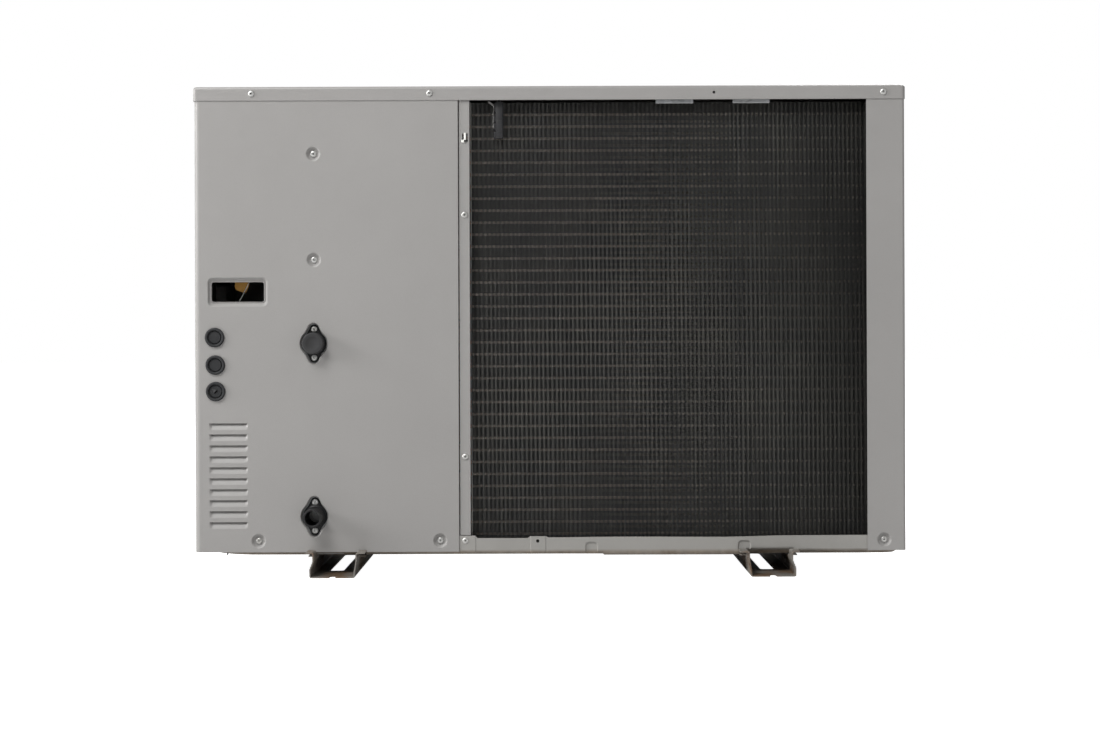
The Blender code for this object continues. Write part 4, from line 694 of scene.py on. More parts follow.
def right_side_panel():
    """Right side with air slots, returned across the rear corner with an inward fold at its edge."""
    bm = bmesh.new()
    radius = 0.005
    fold = 0.0012
    flat_left = RIGHT_RETURN_EDGE + fold + HOLD
    flat_right = PANEL_X - radius - HOLD
    holes = [press_dimple(bm, "rear", RETURN_DIMPLE)]
    flat_sheet(bm, "rear", upright(flat_left, flat_right), holes)
    swept(bm, [(flat_right, REAR_Y)] + arc((PANEL_X - radius, REAR_Y + radius), radius, 270, 360, BEND_STEPS)
          + [(PANEL_X, REAR_Y + radius + HOLD)], PANEL_BOTTOM, PANEL_TOP)
    swept(bm, [(RIGHT_RETURN_EDGE, REAR_Y + 0.012)]
          + arc((RIGHT_RETURN_EDGE + fold, REAR_Y + fold), fold, 180, 270, 6) + [(flat_left, REAR_Y)],
          0.0685, PANEL_TOP)
    slots = []
    for row in range(13):
        for start in (-0.080, 0.040):
            center = (start + 0.0525, 0.121 + row * 0.052)
            steps = ((0.0026, 0.0056, 0.0), (0.0018, 0.0052, 0.0), (0.0004, 0.0045, 0.0002),
                     (0.0, 0.0043, 0.0009), (0.0, 0.0043, 0.0024))
            loops = [(rounded_rectangle(center, (0.105 + g, 0.022 + g), r, 5), d) for g, r, d in steps]
            rings(bm, "right", *loops)
            slots.append(loops[0][0])
    flat_sheet(bm, "right", upright(REAR_Y + radius + HOLD, 0.155), slots)
    mesh = sheet_piece(bm, "right_panel_sheet", (1, -1, 0), cutter=skirt_holes())
    return piece("right_panel_sheet", mesh, casing_paint, nodes=("right_side_panel",))


def service_panel():
    """Removable panel over the front left corner, with a rolled grip hole in its side."""
    bm = bmesh.new()
    radius = 0.007
    center = (0.090, HAND_HOLE[1])
    steps = ((0.0040, 0.0080, 0.0), (0.0032, 0.0076, 0.0), (0.0008, 0.0064, 0.0003), (0.0, 0.0060, 0.0012),
             (-0.0006, 0.0060, 0.0150), (-0.0016, 0.0055, 0.0175), (-0.0044, 0.0048, 0.0187),
             (-0.0100, 0.0040, 0.0190))
    loops = [(rounded_rectangle(center, (0.104 + g, 0.036 + g), r), d) for g, r, d in steps]
    rings(bm, "left", *loops)
    flat_sheet(bm, "left", loops[-1][0], depth=loops[-1][1])
    low = SIDE_SPLIT_Y + 0.001
    high = PANEL_Y - radius - HOLD
    flat_sheet(bm, "left", upright(low, high), [loops[0][0]])
    path = [(-PANEL_X, high)] + arc((-PANEL_X + radius, PANEL_Y - radius), radius, 180, 90, BEND_STEPS)
    path.append((-PANEL_X + radius + HOLD, PANEL_Y))
    swept(bm, path, PANEL_BOTTOM, PANEL_TOP)
    near = -PANEL_X + radius + HOLD
    seats = [press_dimple(bm, "front", spot) for spot in SERVICE_DIMPLES]
    flat_sheet(bm, "front", upright(near, REAR_PANEL_EDGE), seats)
    mesh = sheet_piece(bm, "service_panel_sheet", (-1, 1, 0))
    return piece("service_panel_sheet", mesh, casing_paint, nodes=("service_panel",))


def front_panel():
    """Panel in front of the fan; its round opening has a rolled edge."""
    bm = bmesh.new()
    radius = 0.007
    center = (FAN_X, FAN_Z)
    steps = ((0.0030, 0.0), (0.0022, 0.0), (0.0008, 0.0002), (0.0002, 0.0009))
    rings(bm, "front", *((circle(center, SHROUD_RADIUS + grow, 128), depth) for grow, depth in steps))
    holes = [circle(center, SHROUD_RADIUS + steps[0][0], 128)]
    holes += [press_dimple(bm, "front", spot) for spot in FRONT_DIMPLES]
    left = REAR_PANEL_EDGE + 0.001
    right = PANEL_X - radius - HOLD
    flat_sheet(bm, "front", upright(left, right), holes)
    path = [(right, PANEL_Y)] + arc((PANEL_X - radius, PANEL_Y - radius), radius, 90, 0, BEND_STEPS)
    path += [(PANEL_X, PANEL_Y - radius - HOLD), (PANEL_X, 0.156)]
    swept(bm, path, PANEL_BOTTOM, PANEL_TOP)
    mesh = sheet_piece(bm, "front_panel_sheet", (0, 1, 0))
    return piece("front_panel_sheet", mesh, casing_paint, nodes=("front_panel",))


def top_cover():
    """Lid with round edges; its skirt ends in a small hem that is turned in."""
    bm = bmesh.new()
    bottom = HEIGHT - COVER_SKIRT
    edge = 0.005
    corner = 0.007
    levels = [(0.0006, bottom), (0.0, bottom + 0.0007), (0.0, bottom + 0.0012), (0.0, HEIGHT - edge - HOLD)]
    levels += [(edge - r, z) for r, z in arc((0.0, HEIGHT - edge), edge, 0, 90, 8)]
    levels += [(edge + HOLD, HEIGHT)]
    rows = []
    for inset, z in levels:
        size = (WIDTH - 2 * inset, DEPTH - 2 * inset)
        outline = rounded_rectangle((0, 0), size, max(corner - inset, 0.0012), 8)
        rows.append([(x, y, z) for x, y in outline])
    loft(bm, rows, ends=(-1,))
    mesh = sheet_piece(bm, "cover_sheet", (0, 0, 1), cutter=skirt_holes())
    return piece("cover_sheet", mesh, casing_paint, nodes=("top_cover",))


def centre_post():
    """Narrow channel between the rear panel and the coil, with two screw holes and a slot for a clip."""
    bm = bmesh.new()
    fold = 0.0011
    left = POST_LEFT + fold + 0.0003
    right = POST_RIGHT - fold - 0.0003
    middle = (POST_LEFT + POST_RIGHT) / 2
    back = POST_FACE - REAR_Y
    holes = [circle((middle, z), SCREW_HOLE, 20) for z in POST_SCREWS_Z]
    holes.append(rounded_rectangle(CLIP_SLOT, (0.0094, 0.0150), 0.001, 3))
    low = 0.0686
    flat_sheet(bm, "rear", upright(left, right, low), holes, back)
    swept(bm, [(POST_LEFT, POST_FACE + 0.018)] + arc((POST_LEFT + fold, POST_FACE + fold), fold, 180, 270, 6)
          + [(left, POST_FACE)], low, PANEL_TOP)
    swept(bm, [(right, POST_FACE)] + arc((POST_RIGHT - fold, POST_FACE + fold), fold, 270, 360, 6)
          + [(POST_RIGHT, POST_FACE + 0.016)], low, PANEL_TOP)
    mesh = sheet_piece(bm, "centre_post_sheet", (0, -1, 0))
    return piece("centre_post_sheet", mesh, casing_paint, nodes=("centre_post",))


# ---------------------------------------------------------------- base pan and rails

# Places along the rear rim as (x, height of its top edge)
RIM_EDGE = (
    (-0.5165, 0.0560), (-0.1586, 0.0560), (-0.1580, 0.0676), (-0.1310, 0.0676), (-0.1270, 0.0632),
    (-0.0400, 0.0630), (-0.0350, 0.0662), (-0.0080, 0.0662), (-0.0030, 0.0640), (0.1200, 0.0648),
    (0.3000, 0.0640), (0.4200, 0.0662), (0.5885, 0.0664))
# Pockets pressed into the rim as (x from, x to, z from, z to)
RIM_BUMPS = ((0.0606, 0.0827, 0.0400, 0.0560), (0.3262, 0.3492, 0.0400, 0.0580))
# Places along the rear rim as (x, height of its lower bend)
RIM_FOOT = (
    (-0.5165, 0.0405), (-0.4890, 0.0405), (-0.4870, 0.0385), (-0.4160, 0.0378), (-0.4140, 0.0412),
    (-0.3370, 0.0412), (-0.3350, 0.0368), (-0.2500, 0.0364), (-0.1500, 0.0356), (0.0000, 0.0352),
    (0.0920, 0.0350), (0.0945, 0.0330), (0.3080, 0.0328), (0.3400, 0.0334), (0.3410, 0.0412),
    (0.4230, 0.0412), (0.4240, 0.0374), (0.4480, 0.0388), (0.5000, 0.0378), (0.5500, 0.0382),
    (0.5720, 0.0380), (0.5885, 0.0402))
RIM_TABS = ((-0.1575, -0.1300), (-0.0350, -0.0080))
RIM_SEATS = ((-0.5078, 0.0595), (-0.1916, 0.0595), (0.5810, 0.0585))
RIM_DRAIN = (-0.0223, 0.0580)
RIM_START = -0.5165
RIM_END = 0.5885
PAN_SHEET = 0.0012
PAN_DRAINS_X = (0.05, 0.25, 0.45)
PAN_DRAINS_Y = -0.09
RAIL_SLOT = (0.025, 0.268)
RAIL_NOTCH_RADIUS = 0.0055


def along_rim(table, x):
    """Height at a place along the rear rim, eased between the places of a table."""
    for (x0, z0), (x1, z1) in zip(table, table[1:]):
        if x0 <= x <= x1:
            t = (x - x0) / (x1 - x0)
            return z0 + (z1 - z0) * t * t * (3 - 2 * t)
    return table[0][1] if x < 0 else table[-1][1]


def rim_bump(x, z):
    """How far the rim stands out at a place: two tabs do, and arched pockets are pressed in instead."""
    out = 0.0
    for left, right, low, high in RIM_BUMPS:
        u = (x - (left + right) / 2) / ((right - left) / 2)
        v = (z - low) / (high - low)
        if abs(u) < 1 and 0 < v < 1:
            reach = 1 - abs(u) ** 4 - v ** 4
            out = min(out, -0.0022 * min(1.0, max(reach, 0.0) * 2.4))
    for left, right in RIM_TABS:
        near = min(x - left, right - x)
        if near > 0:
            out = max(out, 0.0008 * min(1.0, near / 0.0012))
    return out


def base_pan():
    """Shallow tray: the rear rim has a wavy top edge, pockets, a round lower bend and a drain hole."""
    bm = bmesh.new()
    radii = (0.028, 0.028, 0.100, 0.028)
    bend = 0.0055
    outline = rounded_rectangle((0, 0), (2 * PAN_X, 2 * PAN_Y), radii, 10)
    marks = [x for x, _ in RIM_EDGE]
    for left, right, _, _ in RIM_BUMPS:
        marks += [left + (right - left) * k / 14 for k in range(-1, 16)]
    for left, right in RIM_TABS:
        marks += [left, left + 0.0006, left + 0.0012, right - 0.0012, right - 0.0006, right]
    for x, _ in RIM_EDGE[1:9] + RIM_FOOT:
        marks += [x - 0.0008, x, x + 0.0008]
    marks += [k * 0.010 for k in range(-51, 59)]
    marks = sorted({round(x, 5) for x in marks if RIM_START < x < RIM_END})
    start = next(k for k, (x, y) in enumerate(outline)
                 if abs(y + PAN_Y) < 1e-6 and abs(x - RIM_START) < 0.001)
    outline = outline[:start + 1] + [(x, -PAN_Y) for x in marks] + outline[start + 1:]
    on_rear = [abs(y + PAN_Y) < 1e-6 for _, y in outline]
    rows = []
    foot = [along_rim(RIM_FOOT, x) if y < -PAN_Y + 0.102 else PAN_BOTTOM for x, y in outline]
    for k in range(25):
        share = k / 24
        line = []
        for (x, y), rear, low in zip(outline, on_rear, foot):
            top = along_rim(RIM_EDGE, x) if rear else 0.0600
            z = low + bend + (top - low - bend) * (1 - share)
            line.append((x, y - (rim_bump(x, z) if rear else 0.0), z))
        rows.append(line)
    for angle in (15, 30, 45, 60, 75, 90):
        inset = bend * (1 - math.cos(math.radians(angle)))
        line = []
        for (x, y), rear, low in zip(outline, on_rear, foot):
            z = low + bend * (1 - math.sin(math.radians(angle)))
            out = rim_bump(x, low + bend) * math.cos(math.radians(angle)) if rear else 0.0
            line.append((x * (1 - inset / PAN_X), y * (1 - inset / PAN_Y) - out, z))
        rows.append(line)
    rows.append([(x * 0.980, y * 0.93, PAN_BOTTOM) for x, y in outline])
    loft(bm, rows, ends=(-1,))
    x, z = RIM_DRAIN
    rods = [((x, -PAN_Y - 0.01, z), (x, -PAN_Y + 0.01, z), 0.00285)]
    rods += [((x, PAN_DRAINS_Y, PAN_BOTTOM - 0.01), (x, PAN_DRAINS_Y, PAN_BOTTOM + 0.01), 0.010)
             for x in PAN_DRAINS_X]
    rods += [((x, -PAN_Y - 0.01, z), (x, -PAN_Y + 0.01, z), DIMPLE_RADIUS) for x, z in RIM_SEATS]
    mesh = sheet_piece(bm, "pan_sheet", (0, 0, -1), PAN_SHEET, rod_shapes("pan_holes", *rods))
    return piece("pan_sheet", mesh, pan_paint, nodes=("base_pan",))


def rail_section():
    """Channel section from one wall's foot to the other's, with round folds, as (outward, height)."""
    section = [(0.0340, 0.0290), (0.0343, 0.0274), (0.0390, 0.0158), (0.0393, 0.0142), (0.0393, 0.0028)]
    section += [(0.0388, 0.0012), (0.0378, 0.0004), (0.0362, 0.0), (-0.0355, 0.0), (-0.0371, 0.0004)]
    section += [(-0.0381, 0.0012), (-0.0385, 0.0028), (-0.0385, 0.0072), (-0.0387, 0.0088), (-0.0418, 0.0272)]
    return section + [(-0.0420, 0.0290)]


def foot_rail(side, middle, slot_x, outward):
    """Channel rail with a bolt slot and notched ends that stand higher than the flanges under the pan."""
    bm = bmesh.new()
    seat = PAN_BOTTOM - 0.0003 - RAIL_SHEET
    hold = DEPTH / 2 + 0.0003
    end = RAIL_LENGTH / 2
    walls = rail_section()
    lip = RAIL_TOP - 0.0016
    raised = [(0.0460, RAIL_TOP), (0.0356, RAIL_TOP), (0.0345, RAIL_TOP - 0.0005), (0.0340, lip)] + walls
    raised += [(-0.0420, lip), (-0.0425, RAIL_TOP - 0.0005), (-0.0436, RAIL_TOP), (-0.0560, RAIL_TOP)]
    flanged = [(0.0460, seat), (0.0352, seat), (0.0343, seat - 0.0005), (0.0340, seat - 0.0014)] + walls
    flanged += [(-0.0420, seat - 0.0014), (-0.0423, seat - 0.0005), (-0.0432, seat), (-0.0540, seat)]
    for start, stop, section in ((-end, -hold, raised), (-hold, hold, flanged), (hold, end, raised)):
        loft(bm, [[(middle + outward * u, y, v) for u, v in section] for y in (start, stop)], around=False)
    cut = bmesh.new()
    loops = [rounded_rectangle((slot_x, 0), RAIL_SLOT, 0.006)]
    r = RAIL_NOTCH_RADIUS
    for way in (-1, 1):
        tip = [(middle + u, way * (end - 0.0145 - v)) for u, v in arc((0, 0), r, 0, 180, 12)]
        loops.append([(middle + r, way * (end + 0.005))] + tip + [(middle - r, way * (end + 0.005))])
    for loop in loops:
        loft(cut, [[(x, y, z) for x, y in loop] for z in (-0.01, 0.01)], ends=(0, -1))
    mesh = sheet_piece(bm, f"rail_sheet_{side}", (0, 0, -1), RAIL_SHEET, finish_mesh(cut, "rail_cuts"))
    return piece(f"rail_sheet_{side}", mesh, rail_paint, nodes=(f"foot_rail_{side}",))


# ---------------------------------------------------------------- coil

def coil_path(depth, step):
    """Plan of the coil at a depth behind its outer face: (point, direction) along its length."""
    radius = COIL_BEND - depth
    middle = (COIL_SIDE_X - COIL_BEND, COIL_FACE_Y + COIL_BEND)
    straight = middle[0] - COIL_LEFT
    bend = COIL_BEND * math.pi / 2
    leg = COIL_END_Y - middle[1]
    count = int((straight + bend + leg) / step)
    stations = []
    for k in range(count + 1):
        s = (k + 0.5) * step
        if s < straight:
            stations.append(((COIL_LEFT + s, COIL_FACE_Y + depth), (1.0, 0.0)))
        elif s < straight + bend:
            a = (s - straight) / COIL_BEND - math.pi / 2
            stations.append(((middle[0] + radius * math.cos(a), middle[1] + radius * math.sin(a)),
                             (-math.sin(a), math.cos(a))))
        elif s < straight + bend + leg:
            stations.append(((COIL_SIDE_X - depth, middle[1] + s - straight - bend), (0.0, 1.0)))
    return stations


def fin_lean(rng, steps):
    """Sideways lean of the fins' front edges, in nearly regular waves along the coil."""
    lean = []
    phase = rng.uniform(0, 0.8)
    for _ in range(steps):
        phase += 2 * math.pi * FIN_PITCH / FIN_WAVE * rng.uniform(0.94, 1.06)
        lean.append(FIN_SWAY * math.sin(phase) + rng.uniform(-0.00004, 0.00004))
    return lean


def fin_pack():
    """Thin rippled fins across the rear, round the corner and along the side, with leaning front edges."""
    rng = random.Random(7)
    depths = (0.0, 0.009, 0.026, COIL_THICK)
    ripple = (None, 0.0, 0.0015, 0.0)
    lines = [coil_path(depth, FIN_PITCH) for depth in depths]
    count = len(lines[0])
    levels = [COIL_BOTTOM + (COIL_TOP - COIL_BOTTOM) * k / FIN_LEVELS for k in range(FIN_LEVELS + 1)]
    main = fin_lean(rng, count)
    leans = []
    for _ in levels:
        stray = rng.uniform(0.0, 0.00006)
        leans.append([lean + rng.uniform(-stray, stray) for lean in main])
    bm = bmesh.new()
    for number, stations in enumerate(zip(*lines)):
        skins = []
        for side in (-FIN_HALF, FIN_HALF):
            columns = []
            for ((x, y), (dx, dy)), wave in zip(stations, ripple):
                column = []
                for level, z in enumerate(levels):
                    shift = side + (leans[level][number] if wave is None else wave)
                    column.append(bm.verts.new((x + dx * shift, y + dy * shift, z)))
                columns.append(column)
                if len(columns) > 1:
                    break
            for ((x, y), (dx, dy)), wave in list(zip(stations, ripple))[2:]:
                columns.append([bm.verts.new((x + dx * (side + wave), y + dy * (side + wave), z))
                                for z in (levels[0], levels[-1])])
            skins.append(columns)
        for columns in skins:
            for low in range(FIN_LEVELS):
                bm.faces.new((columns[0][low], columns[1][low], columns[1][low + 1], columns[0][low + 1]))
            bm.faces.new(columns[1][::-1] + [columns[2][0], columns[2][1]])
            bm.faces.new((columns[2][0], columns[3][0], columns[3][1], columns[2][1]))
        left, right = skins
        for low in range(FIN_LEVELS):
            bm.faces.new((left[0][low], right[0][low], right[0][low + 1], left[0][low + 1]))
        bm.faces.new((left[3][0], right[3][0], right[3][1], left[3][1]))
        for end in (0, -1):
            for k in range(3):
                bm.faces.new((left[k][end], left[k + 1][end], right[k + 1][end], right[k][end]))
    bmesh.ops.recalc_face_normals(bm, faces=bm.faces)
    mesh = bpy.data.meshes.new("coil_fins")
    bm.to_mesh(mesh)
    bm.free()
    return piece("coil_fins", mesh, fins_dark, nodes=("evaporator_coil",))


def pipe_mesh(name, routes, radius, sides):
    """Round pipes along routes of points."""
    bm = bmesh.new()
    for route in routes:
        points = [Vector(p) for p in route]
        rows = []
        across = None
        for k, point in enumerate(points):
            before = points[max(k - 1, 0)]
            after = points[min(k + 1, len(points) - 1)]
            along = (after - before).normalized()
            if across is None:
                across = along.orthogonal().normalized()
            across = (across - along * across.dot(along)).normalized()
            other = along.cross(across)
            row = []
            for n in range(sides):
                angle = 2 * math.pi * n / sides
                row.append(point + (across * math.cos(angle) + other * math.sin(angle)) * radius)
            rows.append(row)
        loft(bm, rows, ends=(0, -1))
    return finish_mesh(bm, name, 40)


def smooth_route(corners, radius, count=6):
    """A route through corners, each rounded by a short curve."""
    route = [Vector(corners[0])]
    for before, corner, after in zip(corners, corners[1:], corners[2:]):
        middle = Vector(corner)
        into = (Vector(before) - middle).normalized() * radius
        out = (Vector(after) - middle).normalized() * radius
        for k in range(count + 1):
            t = k / count
            route.append((middle + into * (1 - t)).lerp(middle + out * t, t))
    route.append(Vector(corners[-1]))
    return route


def coil_tubes():
    """Collared tube runs through the fins, and bare copper return bends past their ends."""
    runs = []
    bends = []
    for row, depth in enumerate(TUBE_DEPTHS):
        plan = [point for point, _ in coil_path(depth, 0.004)]
        plan = [(COIL_LEFT, plan[0][1])] + plan + [(COIL_SIDE_X - depth, COIL_END_Y)]
        straight = [p for p in plan if p[0] < COIL_SIDE_X - COIL_BEND - 0.004]
        plan = [straight[0]] + plan[len(straight):]
        heights = [TUBE_LOWEST + k * TUBE_PITCH - row * TUBE_PITCH / 2 for k in range(TUBE_ROWS)]
        runs += [[(x, y, z) for x, y in plan] for z in heights]
        far = COIL_SIDE_X - depth
        for low, high in zip(heights[0::2], heights[1::2]):
            middle = (low + high) / 2
            turn = [(COIL_END_Y, low)] + arc((COIL_END_Y + 0.003, middle), TUBE_PITCH / 2, -90, 90, 10)
            turn += [(COIL_END_Y, high)]
            bends.append([(far, y, z) for y, z in turn])
        if row == 0:
            for low, high in zip(heights[1::2], heights[2::2]):
                middle = (low + high) / 2
                turn = [(-0.1380, low)] + arc((-0.1400, middle), TUBE_PITCH / 2, 270, 90, 10)
                turn.append((-0.1380, high))
                bends.append([(x, COIL_FACE_Y + depth, z) for x, z in turn])
    piece("coil_tubes", pipe_mesh("coil_tubes", runs, TUBE_RADIUS, 16), collar_metal)
    piece("coil_return_bends", pipe_mesh("coil_return_bends", bends, 0.0035, 12), copper)


# ---------------------------------------------------------------- turned pieces and screws

def turned_mesh(name, place, profile, steps, closed=True, angle=FOLD_ANGLE):
    """A ring turned about a line along Y from (radius, distance out of the rear) points."""
    x, y, z = place
    bm = bmesh.new()
    rows = []
    for radius, out in profile:
        if radius < 0.000001:
            rows.append([bm.verts.new((x, y - out, z))])
            continue
        rows.append([bm.verts.new((x + u, y - out, z + v)) for u, v in circle((0, 0), radius, steps)])
    pairs = list(zip(rows, rows[1:]))
    if closed:
        pairs.append((rows[-1], rows[0]))
    for first, second in pairs:
        for k in range(steps):
            n = (k + 1) % steps
            corners = [first[k % len(first)], first[n % len(first)]]
            corners += [second[n % len(second)], second[k % len(second)]]
            bm.faces.new(list(dict.fromkeys(corners)))
    return finish_mesh(bm, name, angle)


def pan_head():
    """Pan-head screw at the origin, its domed head with a star recess towards -Y, and a plain shank."""
    r = SCREW_HEAD
    head = [(0.0, 0.00265), (r * 0.30, 0.00262), (r * 0.55, 0.00245), (r * 0.78, 0.00205),
            (r * 0.93, 0.00140), (r, 0.00070), (r, 0.00010), (r - 0.0002, 0.0), (0.0019, 0.0),
            (0.0019, -0.0060), (0.0, -0.0070)]
    mesh = turned_mesh("pan_head", (0, 0, 0), head, 32, closed=False)
    bm = bmesh.new()
    rows = []
    for reach, y in ((1.30, -0.0032), (1.0, -0.0024), (0.80, -0.0010), (0.74, 0.0020)):
        row = []
        for k in range(36):
            a = 2 * math.pi * k / 36
            radius = 0.0021 * reach * (0.80 + 0.20 * math.cos(6 * a))
            row.append((radius * math.cos(a), y, radius * math.sin(a)))
        rows.append(row)
    loft(bm, rows, ends=(0, -1))
    return with_holes(mesh, finish_mesh(bm, "star"))


def screws():
    """Every screw of the casing: cover, dimples, unions, post, pan tab and front panels."""
    template = pan_head()
    places = [(f"cover_screw_{k + 1}", x, -DEPTH / 2, COVER_SCREW_Z, True)
              for k, x in enumerate(COVER_SCREWS_X)]
    places += [(f"panel_screw_{k + 1}", x, REAR_Y + DIMPLE_DEPTH, z, True)
               for k, (x, z) in enumerate(DIMPLES + (RETURN_DIMPLE,))]
    ears = [(x, z + side) for x, z in UNIONS for side in (EAR_OFFSET, -EAR_OFFSET)]
    places += [(f"union_screw_{k + 1}", x, UNION_FRONT, z, True) for k, (x, z) in enumerate(ears)]
    middle = (POST_LEFT + POST_RIGHT) / 2
    places += [(f"post_screw_{k + 1}", middle, POST_FACE, z, False) for k, z in enumerate(POST_SCREWS_Z)]
    places.append(("pan_tab_screw", -0.1480, -PAN_Y, 0.0590, False))
    rng = random.Random(3)
    for name, x, y, z, stands_for in places:
        mesh = template.copy()
        mesh.transform(Matrix.Translation((x, y, z)) @ Matrix.Rotation(rng.uniform(0, math.pi), 4, "Y"))
        piece(name + "_head", mesh, screw_zinc, nodes=(name,) if stands_for else ())
    for k, (x, z) in enumerate(FRONT_DIMPLES + SERVICE_DIMPLES):
        mesh = template.copy()
        turned = Matrix.Rotation(math.pi, 4, "Z") @ Matrix.Rotation(rng.uniform(0, math.pi), 4, "Y")
        mesh.transform(Matrix.Translation((x, PANEL_Y - DIMPLE_DEPTH, z)) @ turned)
        piece(f"front_screw_{k + 1}_head", mesh, screw_zinc)


# ---------------------------------------------------------------- water connections and grommets

def union_fitting(name, spot, length, node):
    """Moulded rhombus flange with a rounded rim, two seats for its screws and an open stub."""
    x, z = spot
    bm = bmesh.new()
    front = UNION_FRONT - REAR_Y
    back = front + 0.004
    rim = ((0.0, back), (0.0, front + 0.0009), (-0.0003, front + 0.0003), (-0.0009, front))
    loops = [(rhombus(spot, offset), depth) for offset, depth in rim]
    rings(bm, "rear", *loops)
    ears = [circle((x, z + side), SCREW_HOLE, 24) for side in (EAR_OFFSET, -EAR_OFFSET)]
    collar = 0.0195
    flat_sheet(bm, "rear", loops[-1][0], ears + [circle(spot, collar, 64)], front)
    flat_sheet(bm, "rear", loops[0][0], ears + [circle(spot, 0.0145, 64)], back)
    for ear in ears:
        rings(bm, "rear", (ear, front), (ear, back))
    outside = [(collar, 0.0), (collar, 0.0024), (collar - 0.0006, 0.0031), (STUB_RADIUS + 0.0008, 0.0036),
               (STUB_RADIUS, 0.0048), (STUB_RADIUS, length - 0.0014), (STUB_RADIUS - 0.0004, length - 0.0004),
               (STUB_RADIUS - 0.0012, length), (STUB_BORE + 0.0010, length),
               (STUB_BORE + 0.0003, length - 0.0003), (STUB_BORE, length - 0.0010), (STUB_BORE, -0.0210),
               (0.0145, -0.0210), (0.0145, -0.0040)]
    rows = [circle(spot, radius, 64) for radius, _ in outside]
    rings(bm, "rear", *((row, front - out) for row, (_, out) in zip(rows, outside)))
    mesh = finish_mesh(bm, name, 35)
    return piece(name, mesh, black_plastic, nodes=(node,))


def union_cap():
    """Push-on cap of the upper stub: a rounded edge, a thick lip and shallow grip ribs round its side."""
    x, z = UNIONS[0]
    r = CAP_RADIUS
    steps = 120
    bm = bmesh.new()
    end = CAP_LENGTH
    inner = STUB_RADIUS + 0.0003
    profile = [(0.0001, end - 0.0007), (r * 0.55, end - 0.0007), (r * 0.60, end - 0.0001), (r * 0.62, end),
               (r - 0.0024, end), (r - 0.0019, end), (r - 0.0010, end - 0.0004), (r - 0.0004, end - 0.0011),
               (r - 0.0001, end - 0.0024), (r - 0.0002, 0.0095), (r - 0.0002, 0.0089), (r, 0.0085),
               (r, 0.0060), (r - 0.0003, 0.0055), (inner, 0.0055), (inner, end - 0.0025),
               (0.0001, end - 0.0025)]
    rows = []
    for number, (radius, out) in enumerate(profile):
        row = []
        for k in range(steps):
            ribbed = 8 <= number <= 9 and k % 4 in (0, 1)
            reach = radius - (0.0004 if ribbed else 0.0)
            angle = 2 * math.pi * k / steps
            row.append((x + reach * math.cos(angle), UNION_FRONT - out, z + reach * math.sin(angle)))
        rows.append(row)
    loft(bm, rows, ends=(0, -1))
    mesh = finish_mesh(bm, "outlet_cap", 40)
    return piece("outlet_cap", mesh, black_rubber, "cap", ("union_cap",))


def grommet(number, spot):
    """Rubber grommet: a rounded outer ring, a groove and a thin membrane; the lowest one is slit open."""
    x, z = spot
    r = 0.0170
    profile = [(0.0, 0.0012), (0.0060, 0.0012), (0.0101, 0.0010), (0.0106, 0.0004), (0.0109, -0.0003),
               (0.0116, -0.0004), (0.0120, 0.0006), (0.0126, 0.0031), (0.0136, 0.0037), (0.0152, 0.0037),
               (0.0163, 0.0032), (r - 0.0001, 0.0022), (r, 0.0004), (0.0139, 0.0003), (0.0139, -0.0013),
               (r, -0.0013),
               (r - 0.0004, -0.0040), (0.0140, -0.0058), (0.0120, -0.0058), (0.0112, -0.0018), (0.0, -0.0002)]
    mesh = turned_mesh(f"grommet_{number}", (x, REAR_Y, z), profile, 64, closed=False, angle=35)
    if number == 3:
        bm = bmesh.new()
        wedge = [(x - 0.0030, z - 0.0022), (x + 0.0020, z + 0.0030), (x + 0.0040, z + 0.0012),
                 (x - 0.0008, z - 0.0040)]
        loft(bm, [[(u, y, v) for u, v in wedge] for y in (REAR_Y - 0.002, REAR_Y + 0.004)], ends=(0, -1))
        mesh = with_holes(mesh, finish_mesh(bm, "slit"))
        flap = bmesh.new()
        spots = [(-0.0070, 0.0056, 0.0012), (0.0022, 0.0030, 0.0034), (-0.0032, -0.0024, 0.0030)]
        near = [(x + u, REAR_Y - out, z + v) for u, v, out in spots]
        far = [(u + 0.0004, y + 0.0010, v - 0.0004) for u, y, v in near]
        loft(flap, [near, far], ends=(0, -1))
        piece("grommet_flap", finish_mesh(flap, "grommet_flap"), black_rubber)
    piece(f"grommet_{number}", mesh, grommet_rubber, nodes=(f"cable_grommet_{number}",))


# ---------------------------------------------------------------- clips, wires and the hand hole's strip

def soft_boxes(name, edge, *spans):
    """Blocks from corner to corner with softly rounded edges."""
    bm = bmesh.new()
    for low, high in spans:
        size = Vector(high) - Vector(low)
        place = Matrix.Translation((Vector(low) + Vector(high)) / 2) @ Matrix.Diagonal((*size, 1.0))
        bmesh.ops.create_cube(bm, size=1.0, matrix=place)
    bmesh.ops.bevel(bm, geom=list(bm.edges), offset=edge, segments=2, profile=0.5, affect="EDGES")
    return finish_mesh(bm, name, 40)


